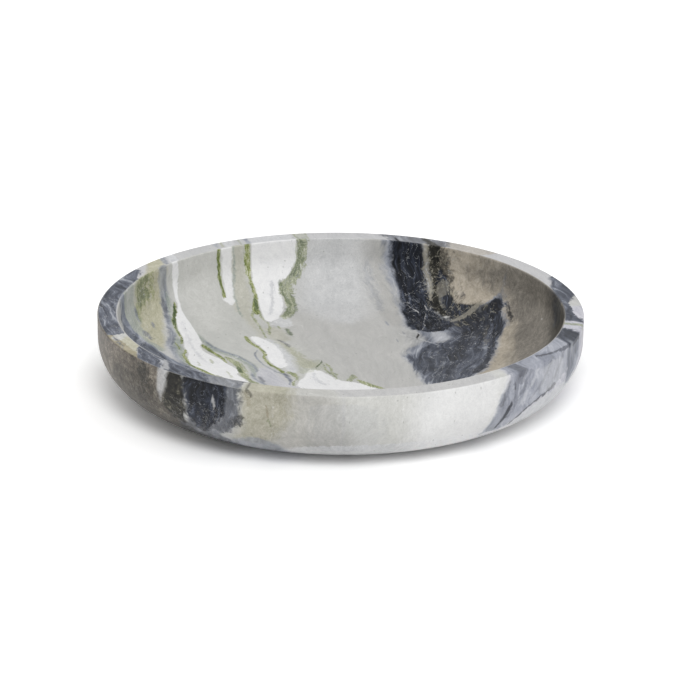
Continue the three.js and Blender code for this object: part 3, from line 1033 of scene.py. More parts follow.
            (106, -28.4, -23.6), (101, -28, -24.4),
        ), edge=0.7, fray=0.5, face=Face.INSIDE),
        Streak("moss_b_left", (
            (103, -30, -27.6), (96, -31.8, -30.2), (85, -32.2, -30.8), (70, -33.2, -31.8),
            (58, -34.2, -32.8),
        ), edge=0.6, fray=0.4, strength=0.65),
        Streak("moss_b_right", (
            (100, -25.6, -24), (90, -26.4, -25), (82, -25.6, -24.4), (72, -27.8, -26.4), (62, -30, -28.6),
        ), edge=0.6, fray=0.4, strength=0.65),
        Streak("moss_band", (
            (140.4, 12, 21), (139.2, 10.4, 19.2), (138, 9, 17), (136.4, 6.4, 14.6), (134, 3.2, 12),
            (131.6, -0.6, 9.4), (128, -4.2, 6.4), (121, -5, 3.6), (115, -5, 3), (109, -6, 2),
            (103, -7.4, 0), (97, -11, -2.6), (92, -13.6, -6.4), (87.6, -13, -10),
        ), edge=1, ragged=0.6, fray=1.4, drawn=0.3, strength=0.6, face=Face.INSIDE),
        Streak("moss_tail", ((74, -20.8, -19), (70, -20.6, -19)), edge=0.8, fray=0.5, strength=0.7),
        Streak("moss_c", (
            (60.5, -47, -44.4), (54, -47, -44.2), (48, -45.6, -43), (40, -44, -41.6), (33, -43, -41.2),
            (25, -43.8, -41.6), (18, -45.4, -43.2), (10, -45, -42.8), (5, -43.8, -41.6), (0, -42, -40),
            (-6, -40.4, -38),
        ), edge=0.6, fray=0.3),
        Streak("moss_c_low", (
            (-8, -38, -35), (-13, -36, -32), (-18, -35, -32.4), (-24, -38.4, -36.6), (-30, -40.4, -38.6),
        ), edge=0.7, fray=0.6, strength=0.8),
        Streak("moss_specks_a", (
            (46, -32, -30), (36, -27, -23), (26, -25.6, -20), (14, -26, -19), (4, -28, -18),
        ), edge=1.6, ragged=1, fray=3, strength=0.22, face=Face.INSIDE),
        Streak("moss_specks_b", (
            (8, -14, -10), (2, -27, -11), (-4, -29, -10), (-12, -31, -27.6),
        ), edge=1.4, ragged=1, fray=2.4, strength=0.25, face=Face.INSIDE),
        Streak("moss_d_a", (
            (-2, -12.4, -11), (-10, -13, -11.6), (-18, -11.6, -10), (-26, -11, -9.6),
        ), edge=0.6, fray=0.6, strength=0.65, face=Face.INSIDE),
        Streak("moss_d_b", (
            (0, -9.6, -8.6), (-8, -9.6, -8), (-14, -10.8, -9.2), (-19, -8.8, -7),
        ), edge=0.6, fray=0.6, strength=0.65, face=Face.INSIDE),
        Streak("moss_d_c", (
            (-23, 0.4, 2), (-28, -3, 2.6), (-31, -6, -1.4),
        ), edge=0.6, fray=0.6, strength=0.6, face=Face.INSIDE),
        Streak("moss_d_d", (
            (-33, 0.6, 3), (-37, 2, 6), (-43, 4, 8.6), (-50, 9.6, 13.4), (-66, 15, 17.4),
        ), edge=0.7, fray=0.6, strength=0.85, face=Face.INSIDE),
        SkinStreak("rim_moss_right", ((66, 213.6, 217.4), (50, 212, 216)), edge=0.9, strength=0.6),
    ),
    Mineral.DEEP_MOSS: (
        Streak("deep_left_moss", (
            (97, -101.6, -100.4), (90, -107.8, -106.4), (84, -111.4, -110),
        ), edge=0.7, fray=1.2, strength=0.45, face=Face.INSIDE),
        Streak("deep_moss_left_of_vein", (
            (102, -83.4, -81.8), (91, -86, -84), (84, -87.6, -85.8), (74, -87.2, -86),
        ), edge=0.6, strength=0.9, face=Face.INSIDE),
        Streak("deep_moss_right_of_vein", (
            (9, -65.4, -63.4), (4, -66, -63), (0, -65, -63.2),
        ), edge=0.6, fray=0.6, strength=0.85),
        Streak("deep_moss_line_a", (
            (131, -45.5, -43.9), (123, -44.9, -43.7),
        ), edge=0.5, strength=0.4, face=Face.INSIDE),
        Streak("deep_moss_b", (
            (118, -24.8, -22.8), (112, -25.6, -23), (107, -26, -24),
        ), edge=0.7, fray=0.5, strength=0.85),
        Streak("deep_moss_band_top", (
            (140, 12.6, 17), (138.6, 10.4, 15), (137, 8, 12.6), (135, 5, 9),
        ), edge=0.8, fray=1.2, strength=0.5, face=Face.INSIDE),
        Streak("deep_moss_band", (
            (131, -4, -1.4), (122, -4.4, -1.4), (114, -4, -0.6), (106, -6, -2.4), (99, -9, -4.8),
            (91, -12.8, -9.4),
        ), edge=0.9, ragged=0.5, fray=1, strength=0.6),
        Streak("teal_branch", (
            (121, 1, 2.8), (111, 0.2, 2.6), (103, -1, 1.4), (97, -3.8, -1.4), (90, -8.8, -6.6),
        ), edge=1, fray=1, strength=0.5),
        Streak("deep_moss_tail", (
            (68, -17.6, -15.2), (62, -18, -14.6), (56, -17.4, -15.4),
        ), edge=0.9, fray=0.7, strength=0.75),
        Streak("deep_moss_d", (
            (5.6, -10.8, -9.8), (1, -14, -12.6), (-4.4, -18, -16.8),
        ), edge=0.5, fray=0.4, strength=0.85, face=Face.INSIDE),
        SkinStreak("wall_moss_b", (
            (33.4, -43, -41.6), (30, -41.8, -40.4),
        ), edge=0.7, fray=0.6, strength=0.55, tip=1.5),
    ),
    Mineral.BLACK: (
        Streak("black_vein", (
            (124, 74.6, 76.2), (112, 74.6, 76.4), (104, 74.5, 76.5), (97, 73.6, 76), (92, 72.6, 75),
            (86, 71, 73.6), (78, 69, 70.8), (70, 67.4, 68.8),
        ), edge=0.7, ragged=0.3, fray=0.3),
        Streak("black_mass", (
            (86, 72, 76), (78, 70.6, 76), (68, 68, 78), (60, 67, 76), (55, 69, 78), (50, 70.6, 79),
            (46, 70.6, 76), (41.5, 71, 74),
        ), edge=2, fray=0.8, strength=0.75, drawn=0.5),
        Streak("floor_black", (
            (53, 116, 123), (47, 115, 123.6), (41, 113, 118),
        ), edge=1.4, fray=0.8, strength=0.8, face=Face.INSIDE),
        Streak("black_outlier", (
            (43, 126, 127.6), (36, 125, 127), (30, 124, 126.4), (26, 123.6, 125),
        ), edge=0.8, fray=1.0, strength=0.8, face=Face.INSIDE),
        SkinStreak("blue_black_core", (
            (50, -98.6, -80), (45, -99, -80), (40, -97.6, -84), (34, -95.6, -88),
        ), edge=2.6, fray=0.8, strength=0.8, face=Face.OUTSIDE, drawn=0.4),
        SkinStreak("wall_dark_lens", (
            (17, 106.4, 107.8), (21, 107.4, 110), (25, 108.4, 111.8), (29, 109.8, 113.4), (32, 112, 114.2),
        ), edge=0.9, ragged=0.2, fray=0.4, strength=0.85),
    ),
    Mineral.CREAM: (
        Streak("pale_wedge", (
            (108, 89.4, 91), (100, 90.2, 92), (94, 89, 91), (86, 87.4, 89.4),
        ), edge=0.9, fray=1.2, strength=0.7),
        Streak("cream_patch", ((93, 94, 98), (88, 93, 101), (83, 93, 96)), edge=1, fray=1.4, strength=0.35),
        Streak("cream_ridge", (
            (61, 108, 117), (57, 99, 110), (53, 90, 99),
        ), edge=0.8, fray=1.2, strength=0.55, tip=1.5),
        Streak("floor_pale_streak", (
            (34, 108.8, 110), (25, 105, 106.8), (15, 101.2, 102.8), (5, 96.8, 98),
        ), edge=1.4, fray=1.8, drawn=0.4, strength=0.3, face=Face.INSIDE),
    ),
    Mineral.CREAM_NET: (
        Streak("lump_net", (
            (106, 90, 99), (92, 85, 103), (76, 84, 106), (62, 86, 112), (52, 88, 120), (44, 92, 118),
        ), edge=2, fray=1, strength=0.75, face=Face.INSIDE),
    ),
    Mineral.FLECK: (
        Streak("band_flecks", (
            (90, 70, 86), (70, 66, 88), (44, 64, 94),
        ), edge=2, strength=0.85, face=Face.INSIDE),
        SkinStreak("blue_black_flecks", (
            (50, -92, -70), (36, -94, -70), (26, -94, -82),
        ), edge=2, strength=0.55, face=Face.OUTSIDE),
    ),
    Mineral.CRACK: (
        Streak("left_moss_cracks", (
            (104, -98, -92), (92, -108, -100), (80, -116, -104), (66, -118, -106), (52, -124, -100),
            (40, -122, -98),
        ), edge=1.5, strength=0.85, face=Face.INSIDE),
        Streak("moss_band_cracks", (
            (140, 8, 22), (130, -6, 8), (112, -7, 5), (96, -12, -1), (86, -16, -8),
        ), edge=1.2, strength=0.85, face=Face.INSIDE),
        Streak("band_cracks", (
            (116, 76, 86), (100, 72, 88), (80, 68, 86), (60, 64, 88), (46, 66, 90),
        ), edge=2, strength=0.85, face=Face.INSIDE),
        Streak("floor_cracks", (
            (40, 90, 118), (20, 74, 112), (0, 54, 102), (-20, 48, 90), (-44, 46, 70),
        ), edge=3, strength=0.85, face=Face.INSIDE),
        SkinStreak("rim_cracks", ((68, -262, -62), (50, -262, -62)), edge=2, strength=0.7, face=Face.RIM),
        SkinStreak("blue_black_cracks", (
            (34, -112, -64), (26, -114, -66), (14, -108, -70),
        ), edge=5, strength=0.35, face=Face.OUTSIDE),
    ),
    Mineral.HAIR: (
        SkinStreak("left_hairs", (
            (52, -250, -122), (36, -250, -124), (16, -240, -118),
        ), edge=5, strength=0.3, face=Face.OUTSIDE),
        SkinStreak("low_hairs", (
            (34, -150, -66), (24, -170, -64), (14, -210, -74), (-4, -240, -84),
        ), edge=6, strength=0.42, face=Face.OUTSIDE),
    ),
    Mineral.HAIRLINE: (
        Streak("ground_hairlines", (
            (160, -160, 62), (40, -160, 58), (-160, -160, 42),
        ), edge=4, strength=0.4, face=Face.INSIDE),
    ),
    Mineral.EYE_AND_PAINTED_LIGHT: (
        # Painted glint: a tiny white spot stands in for a point of light glinting on the polish.
        Streak("moss_band_glint", (
            (137.6, 12.6, 13.4), (136.6, 12.6, 13.4),
        ), edge=0.4, fray=0.0, strength=0.6, tip=0.8),
        Streak("pale_oval", (
            (37, 73, 79), (31, 70.6, 81), (25, 70, 80.6), (19, 69, 76.6),
        ), edge=2.6, fray=0.9, strength=0.3, face=Face.INSIDE),
        Streak("crack_a", (
            (52, 72.8, 73.1), (45, 69.2, 69.5), (37, 63.9, 64.2),
        ), edge=0.3, ragged=0.3, fray=0.3, strength=0.5),
        Streak("crack_b", (
            (71, 79.8, 80), (60, 75.1, 75.3), (47, 70.5, 70.7),
        ), edge=0.3, ragged=0.4, fray=0.3, strength=0.4),
        Streak("crack_c", (
            (84, 72.6, 72.9), (80, 74.2, 74.6), (76, 75.6, 75.9),
        ), edge=0.3, ragged=0.3, fray=0.5, strength=0.5),
        Streak("crack_d", ((80, 81.6, 82.4), (76, 81.6, 82.2)), edge=0.5, fray=0.3, strength=0.55),
        Streak("crack_e", (
            (40, 51.8, 52.3), (30, 59.8, 60.3), (14, 69.8, 70.3),
        ), edge=0.4, ragged=0.2, fray=0.2, strength=0.5),
        # Painted glint: a tiny white spot stands in for a point of light glinting on the polish.
        Streak("right_wall_glint", (
            (3.8, 135.9, 136.4), (3.2, 135.9, 136.4),
        ), edge=0.4, ragged=0, fray=0, strength=0.8, tip=0.8),
        SkinStreak("rim_pale_stripe", (
            (62, -129, -126), (58, -127, -119), (54, -122, -114),
        ), edge=1.8, fray=1.4, drawn=0.3, strength=0.42, face=Face.RIM),
        SkinStreak("rim_pale_end", (
            (66, -92, -62), (58, -86, -62), (51, -80, -61),
        ), edge=5, fray=2, drawn=0.8, strength=0.22, face=Face.RIM),
        SkinStreak("blue_black_lens", (
            (42, -78.4, -77.2), (38, -78.8, -77), (35.4, -78.4, -77.6),
        ), edge=0.8, fray=0.4, strength=0.4, face=Face.OUTSIDE),
        # Painted light: a pale strip along the bottom of the outer wall, where it turns under, stands in for
        # light bounced up from the floor.
        SkinStreak("low_painted_bounce_light", (
            (11, 56, 150), (8, 34, 180), (3, 14, 200), (-4, 8, 205),
        ), edge=8, ragged=1, fray=1.6, drawn=0.3, strength=0.6, face=Face.OUTSIDE),
        SkinStreak("wall_pale", (
            (46, 142, 166), (38, 140, 170), (32, 138, 160),
        ), edge=5, fray=2, drawn=0.6, strength=0.22, face=Face.OUTSIDE),
        SkinStreak("wall_pale_b", (
            (47, 134, 138), (38, 127, 131), (30, 121, 124),
        ), edge=1.8, fray=1.6, drawn=0.4, strength=0.26, face=Face.OUTSIDE),
    ),
}


@dataclass(frozen=True)
class Strays:
    """How far streaks stray, in mm: along, across, at their frayed edges and where these are drawn out."""

    sway: Value
    wander: Value
    frayed: Value
    drawn: Value


@dataclass(frozen=True)
class MarbleFinish:
    """Banded marble with a low polish: upright sheets of mineral in a pale ground. Lengths are in mm."""

    bearing: float = math.radians(17)
    # The attribute that says how far a point is through the wall, and where it leaves the inside and the rim
    side: str = "wall_side"
    inner_edge: Span = (0.02, 0.12)
    outer_edge: Span = (0.9, 0.99)
    # Where across the floor the left drift gives way to the right one, and the swirl in all noise
    drift_change: Span = (-60.0, 80.0)
    swirl_size: float = 26.0
    swirl_detail: float = 2.0
    swirl_reach: float = 18.0
    # The noises that streaks stray by, and how far they stray
    broad: Grain = Grain((7.0, 16.0, 12.0), detail=2.0)
    fine: Grain = Grain((2.4, 4.2, 3.6), detail=4.0, roughness=0.62)
    smoke: Grain = Grain((4.0, 18.0, 13.0), detail=3.0, roughness=0.55)
    sway: float = 6.0
    wander: float = 7.0
    frayed: float = 7.0
    drawn: float = 16.0
    # How far a streak is shut past its ends, so that stray edges don't open it again
    fray_room: float = 2.0
    drawn_room: float = 4.0
    spare_room: float = 0.5
    # A share too small to see: it makes a streak wait for the one before it, so few values are held at once
    handed_on: float = 1e-9
    cloud_share: float = 0.25
    roughness: float = 0.46
    grain_roughness: float = 0.2
    moss_roughness: float = 0.08
    dark_polish: float = 0.06
    specular: float = 0.2
    relief: float = 0.05
    relief_depth: float = 0.2
    speck: Colour = srgb(122, 124, 116)
    speck_size: tuple[float, float, float] = (2.2, 3.6, 3.2)
    speck_choice: Span = (0.94, 0.97)
    speck_edge: Span = (0.1, 0.32)
    speck_strength: float = 0.45

    def material(self, radius: float, wall: float) -> bpy.types.Material:
        """Build the material.

        Args:
            radius: The rim's outer radius.
            wall: The wall's thickness at the rim.

        Returns:
            The marble.
        """
        material, tree = new_material("marble")
        place = object_place(tree)
        parts = tree.add("ShaderNodeSeparateXYZ", None, {"Vector": place}).outputs
        x, y, up = (Value(tree, parts[name]) for name in "XYZ")
        side = Value(tree, tree.add("ShaderNodeAttribute", {"attribute_name": self.side}).outputs["Fac"])
        faces = self._faces(tree, side)
        turn, lift = math.cos(self.bearing), math.sin(self.bearing)
        across = x * turn + y * lift
        along = y * turn - x * lift
        flow = self._flow(tree, faces[Face.INSIDE], across, along, up)
        patterns = {kind: tree.noise(flow, kind.value) for kind in Pattern}
        round_wall = radius * tree.math("ARCTAN2", x, 0.0 - y)
        strays = self._strays(tree, flow)
        layouts = {
            Frame.LAYERS: (across, Frame.LAYERS.reach(along + strays.sway)),
            Frame.SKIN: (round_wall, Frame.SKIN.reach(up + wall * (1.0 - side) + strays.sway)),
        }

        colour = self._tinted(tree, Mineral.GROUND, patterns)
        masks: dict[Mineral, Value] = {}
        for mineral in STREAKS:
            mask = masks[mineral] = self._mask(tree, mineral, layouts, strays, faces)
            if mineral.value.net:
                mask = mask * self._net(tree, flow, mineral.value.net, patterns)
            colour = tree.mix(mask, colour, self._tinted(tree, mineral, patterns))
        # The dark minerals, taking in the painted shade on the right inner wall too: specks are kept off
        # them and they are polished more.
        dark = tree.largest(masks[Mineral.CHARCOAL], masks[Mineral.UMBER])
        colour = tree.mix(self._specks(tree, flow) * (1.0 - dark), colour, self.speck)

        grain = patterns[Pattern.GRAIN]
        rough = self.roughness + self.grain_roughness * (grain - MIDDLE)
        rough = rough + self.moss_roughness * masks[Mineral.MOSS] - self.dark_polish * dark
        normal = tree.bump(grain + patterns[Pattern.FIBRE], self.relief, self.relief_depth)
        tree.principled(
            {"Base Color": colour, "Roughness": rough, "Specular IOR Level": self.specular, "Normal": normal}
        )
        return material

    def _faces(self, tree: Nodes, side: Value) -> dict[Face, Value]:
        """Masks of the inside, the rim and the outside."""
        past_inside = tree.ramp(side, *self.inner_edge)
        outside = tree.ramp(side, *self.outer_edge)
        return {
            Face.INSIDE: 1.0 - past_inside,
            Face.RIM: past_inside - outside,
            Face.OUTSIDE: outside,
            Face.NOT_INSIDE: past_inside,
        }

    def _flow(
        self,
        tree: Nodes,
        inside: Value,
        across: Value,
        along: Value,
        up: Value,
    ) -> bpy.types.NodeSocket:
        """The place that noise is read at, which drifts with the floor's bands and is bent a little.

        Args:
            tree: The nodes.
            inside: The mask of the inside.
            across: The place across the layers.
            along: The place along them.
            up: The height.

        Returns:
            The place as a vector.
        """
        reach = Frame.LAYERS.reach(along)
        left, right = (
            tree.curve(reach, [(Frame.LAYERS.reach(at), drift) for at, drift in drifts])
            for drifts in (LEFT_DRIFT, RIGHT_DRIFT)
        )
        drift = left + tree.ramp(across, *self.drift_change) * (right - left)
        drifting = tree.vector(across - inside * drift, along, up)
        return tree.swirled(drifting, self.swirl_size, self.swirl_detail, self.swirl_reach)

    def _tinted(
        self,
        tree: Nodes,
        mineral: Mineral,
        patterns: Mapping[Pattern, Value],
    ) -> bpy.types.NodeSocket:
        """A mineral's colour over the whole stone."""
        tint = mineral.value
        own_share = 1.0 - self.cloud_share - tint.grain
        mixed = own_share * patterns[tint.pattern] + self.cloud_share * patterns[Pattern.CLOUD]
        mixed = tree.math("MULTIPLY_ADD", patterns[Pattern.GRAIN], tint.grain, mixed)
        spread = tree.math("MULTIPLY_ADD", mixed, tint.contrast, MIDDLE - MIDDLE * tint.contrast)
        stops = [(place, srgb(red, green, blue)) for place, red, green, blue in tint.stops]
        return tree.add("ShaderNodeValToRGB", {"stops": stops}, {"Fac": spread}).outputs["Color"]

    def _strays(self, tree: Nodes, flow: Feed) -> Strays:
        """How far streaks stray."""
        broad, fine, smoke = (tree.noise(flow, grain) for grain in (self.broad, self.fine, self.smoke))
        return Strays(
            sway=self.sway * (fine - MIDDLE),
            wander=self.wander * (broad - MIDDLE),
            frayed=self.frayed * (fine - MIDDLE),
            drawn=self.drawn * (smoke - MIDDLE),
        )

    def _mask(
        self,
        tree: Nodes,
        mineral: Mineral,
        layouts: dict[Frame, tuple[Value, Value]],
        strays: Strays,
        faces: Mapping[Face, Value],
    ) -> Value:
        """Where a mineral shows.

        Args:
            tree: The nodes.
            mineral: The mineral.
            layouts: The place across in mm, and along from 0 to 1, in each frame.
            strays: How far streaks stray.
            faces: Masks of the bowl's faces.

        Returns:
            A mask over all of the mineral's streaks.
        """
        shown: Value | None = None
        for streak in STREAKS[mineral]:
            across, along = layouts[streak.frame]
            mask = self._streak(tree, streak, across, along, strays)
            layouts[streak.frame] = (across, tree.math("MULTIPLY_ADD", mask, self.handed_on, along))
            if streak.face is not Face.ALL:
                mask = mask * faces[streak.face]
            shown = mask if shown is None else tree.largest(shown, mask)
        return shown

    def _streak(self, tree: Nodes, streak: Streak, across: Value, along: Value, strays: Strays) -> Value:
        """Where one streak shows.

        Args:
            tree: The nodes.
            streak: The streak.
            across: The place across the streak, in mm.
            along: The place along it, from 0 to 1 over its frame.
            strays: How far streaks stray.

        Returns:
            A mask from 0 to the streak's strength.
        """
        first, last = streak.frame.value
        outline = [(streak.frame.reach(place), left, right) for place, left, right in sorted(streak.outline)]
        room = self.fray_room * streak.fray + self.drawn_room * streak.drawn + self.spare_room
        shut = -(streak.edge + room)
        tip = streak.tip / (last - first)
        middles = [(place, (left + right) / 2) for place, left, right in outline]
        halves = [(place, (right - left) / 2) for place, left, right in outline]
        halves = [(halves[0][0] - tip, shut), *halves, (halves[-1][0] + tip, shut)]
        strayed = tree.math("MULTIPLY_ADD", strays.wander, streak.ragged, across)
        depth = tree.curve(along, halves) - abs(strayed - tree.curve(along, middles))
        depth = tree.math("MULTIPLY_ADD", strays.frayed, streak.fray, depth)
        if streak.drawn:
            depth = tree.math("MULTIPLY_ADD", strays.drawn, streak.drawn, depth)
        shown = tree.ramp(depth, -streak.edge, streak.edge, 0.0, streak.strength)
        shown.socket.node.label = streak.name
        return shown

    @staticmethod
    def _net(tree: Nodes, flow: Feed, net: Net, patterns: Mapping[Pattern, Value]) -> Value:
        """One on a crack of a net and zero off it."""
        away = abs(tree.noise(flow, Grain(net.gap, net.detail, net.roughness)) - MIDDLE)
        return tree.ramp(away, 0.0, net.width, 1.0, 0.0) * tree.ramp(patterns[net.patch], *net.shown)

    def _specks(self, tree: Nodes, flow: Feed) -> Value:
        """Small grey specks, few and far between."""
        at = tree.vector_math("MULTIPLY", flow, [1 / size for size in self.speck_size])
        cells = tree.add("ShaderNodeTexVoronoi", None, {"Vector": at, "Scale": 1.0})
        chosen = tree.add("ShaderNodeSeparateColor", None, {"Color": cells.outputs["Color"]}).outputs[0]
        rare = tree.ramp(Value(tree, chosen), *self.speck_choice)
        spot = tree.ramp(Value(tree, cells.outputs["Distance"]), *self.speck_edge, 1.0, 0.0)
        return self.speck_strength * rare * spot


@dataclass(frozen=True)
class FeltFinish:
    """Pressed wool felt."""

    light: Colour = srgb(156, 152, 144)
    dark: Colour = srgb(104, 100, 93)
    wool: Grain = Grain((0.5, 0.5, 0.5), detail=5.0, roughness=0.7)
    hairs: Grain = Grain((0.18, 1.6, 0.5), detail=4.0, roughness=0.65)
    hair_share: float = 0.5
    spread: Span = (0.36, 0.64)
    roughness: float = 0.82
    wool_roughness: float = 0.16
    sheen: float = 0.35
    relief: float = 0.7
    relief_depth: float = 0.25

    def material(self) -> bpy.types.Material:
        """Build the material.

        Returns:
            The felt.
        """
        material, tree = new_material("felt")
        place = object_place(tree)
        wool = tree.noise(place, self.wool)
        hairs = tree.noise(place, self.hairs)
        mixed = (1.0 - self.hair_share) * wool + self.hair_share * hairs
        tree.principled(
            {
                "Base Color": tree.mix(tree.ramp(mixed, *self.spread), self.dark, self.light),
                "Roughness": self.roughness + self.wool_roughness * wool,
                "Sheen Weight": self.sheen,
                "Normal": tree.bump(mixed, self.relief, self.relief_depth),
            }
        )
        return material


@dataclass(frozen=True)
class AdhesiveFinish:
    """Acrylic adhesive film, faintly clouded."""

    light: Colour = srgb(231, 226, 212)
    dark: Colour = srgb(206, 199, 182)
    cloud: Grain = Grain((1.8, 1.8, 1.8), detail=4.0)
    spread: Span = (0.35, 0.65)
    roughness: float = 0.35
    cloud_roughness: float = 0.3

    def material(self) -> bpy.types.Material:
        """Build the material.

        Returns:
            The adhesive film.
        """
        material, tree = new_material("adhesive")
        cloud = tree.noise(object_place(tree), self.cloud)
        colour = tree.mix(tree.ramp(cloud, *self.spread), self.dark, self.light)
        tree.principled({"Base Color": colour, "Roughness": self.roughness + self.cloud_roughness * cloud})
        return material


# Modelling


def start_clean() -> None:
    """Leave edit mode and deselect everything."""
    if bpy.context.object and bpy.context.object.mode != "OBJECT":
        bpy.ops.object.mode_set(mode="OBJECT")
    bpy.ops.object.select_all(action="DESELECT")


def dress(piece: bpy.types.Object, material: bpy.types.Material) -> None:
    """Give a piece one material."""
    piece.data.materials.clear()
    piece.data.materials.append(material)


@dataclass
class StoneBowl:
    """The turned stone: sizes in mm, as the frame has them."""

    wall: float = 12.7
    floor: float = 13.0
    outer_lip: float = 14.3
    outer_reach: float = 39.5
    inner_lip: float = 11.0
    inner_reach: float = 42.0
    arris: float = 0.9
    arris_steps: int = 6
    sweep_steps: int = 28
    turns: int = 480
    guard: float = 1.8
    # How near counts as touching, and how far a face may lean and still count as level
    merge: float = 0.001
    near: float = 0.05
    rim_margin: float = 0.1
    level: float = 0.001
    node: str = "stone_bowl"
    finish: MarbleFinish = field(default_factory=MarbleFinish)

    def __post_init__(self) -> None:
        """Take the rim and the levels from the frame."""
        low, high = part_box(self.node)
        self.rim_radius = high.x / MM
        self.base_level = low.z / MM
        self.rim_level = high.z / MM
        self.mouth_radius = self.rim_radius - self.wall
        self.floor_level = self.base_level + self.floor

    def outline(self) -> list[Point]:
        """The section, from the middle of the base round the rim to the middle of the floor.

        Returns:
            Points of radius and height, in mm.
        """
        base_radius = self.rim_radius - self.outer_reach
        floor_radius = self.mouth_radius - self.inner_reach
        outer_top = self.rim_level - self.outer_lip
        inner_top = self.rim_level - self.inner_lip
        outer_drop = outer_top - self.base_level
        inner_drop = inner_top - self.floor_level
        quarter = math.pi / 2
        steps = [step / self.sweep_steps * quarter for step in range(self.sweep_steps + 1)]
        outer = [
            (base_radius + self.outer_reach * math.sin(turn), outer_top - outer_drop * math.cos(turn))
            for turn in steps
        ]
        inner = [
            (floor_radius + self.inner_reach * math.cos(turn), inner_top - inner_drop * math.sin(turn))
            for turn in steps
        ]
        return [
            (0.0, self.base_level),
            (base_radius - self.guard, self.base_level),
            *outer,
            (self.rim_radius, self.rim_level - self.guard),
            (self.rim_radius, self.rim_level),
            (self.rim_radius - self.guard, self.rim_level),
            (self.mouth_radius + self.guard, self.rim_level),
            (self.mouth_radius, self.rim_level),
            (self.mouth_radius, self.rim_level - self.guard),
            *inner,
            (floor_radius - self.guard, self.floor_level),
            (0.0, self.floor_level),
        ]

    def build(self) -> bpy.types.Object:
        """Turn the section about the upright axis and ease the two edges of the rim.

        Returns:
            The stone.
        """
        outline = [Vector((radius * MM, 0, height * MM)) for radius, height in self.outline()]
        start_clean()
        bpy.ops.mesh.primitive_plane_add(size=self.wall * MM)
        stone = bpy.context.object
        stone.name = stone.data.name = "marble_bowl"
        bpy.ops.object.mode_set(mode="EDIT")
        bpy.ops.mesh.select_all(action="SELECT")
        bpy.ops.mesh.merge(type="CENTER")
        bpy.ops.transform.translate(value=outline[0])
        for before, after in zip(outline, outline[1:]):
            bpy.ops.mesh.extrude_region_move(TRANSFORM_OT_translate={"value": after - before})
        bpy.ops.mesh.select_all(action="SELECT")
        bpy.ops.mesh.spin(steps=self.turns, angle=2 * math.pi, center=(0, 0, 0), axis=(0, 0, 1))
        bpy.ops.mesh.select_all(action="SELECT")
        bpy.ops.mesh.remove_doubles(threshold=self.merge * MM)
        bpy.ops.mesh.normals_make_consistent(inside=False)
        self._select_rim_edges(stone)
        bpy.ops.mesh.bevel(offset=self.arris * MM, segments=self.arris_steps, affect="EDGES")
        bpy.ops.object.mode_set(mode="OBJECT")
        bpy.ops.object.shade_smooth()
        self._mark_sides(stone)
        return stone

    def _select_rim_edges(self, stone: bpy.types.Object) -> None:
        """Select the rim's outer and inner edge loops."""
        bpy.ops.mesh.select_all(action="DESELECT")
        mesh = bmesh.from_edit_mesh(stone.data)
        for edge in mesh.edges:
            edge.select_set(all(self._on_rim_edge(vert.co / MM) for vert in edge.verts))
        bmesh.update_edit_mesh(stone.data)

    def _on_rim_edge(self, place: Vector) -> bool:
        """Whether a place, in mm, lies on one of the rim's two edges."""
        radius = math.hypot(place.x, place.y)
        at_edge = min(abs(radius - self.rim_radius), abs(radius - self.mouth_radius)) < self.near
        return at_edge and abs(place.z - self.rim_level) < self.near

    def _mark_sides(self, stone: bpy.types.Object) -> None:
        """Keep how far each point is through the wall, from 0 inside to 1 outside."""
        marks = stone.data.attributes.new(self.finish.side, "FLOAT", "POINT")
        for vert, mark in zip(stone.data.vertices, marks.data):
            mark.value = self._through_wall(vert.co / MM, vert.normal)

    def _through_wall(self, place: Vector, normal: Vector) -> float:
        """How far a place is through the wall, from 0 inside to 1 outside."""
        if place.z > self.rim_level - self.arris - self.rim_margin:
            radius = math.hypot(place.x, place.y)
            return min(max((radius - self.mouth_radius) / self.wall, 0.0), 1.0)
        faces_out = normal.x * place.x + normal.y * place.y > self.level
        faces_down = normal.z < -self.level and place.z < self.floor_level
        return 1.0 if faces_out or faces_down else 0.0

    def make(self) -> bpy.types.Object:
        """Build, dress and fix the stone.

        Returns:
            The stone.
        """
        stone = self.build()
        dress(stone, self.finish.material(self.rim_radius, self.wall))
        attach(stone, BODY)
        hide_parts(self.node)
        return stone


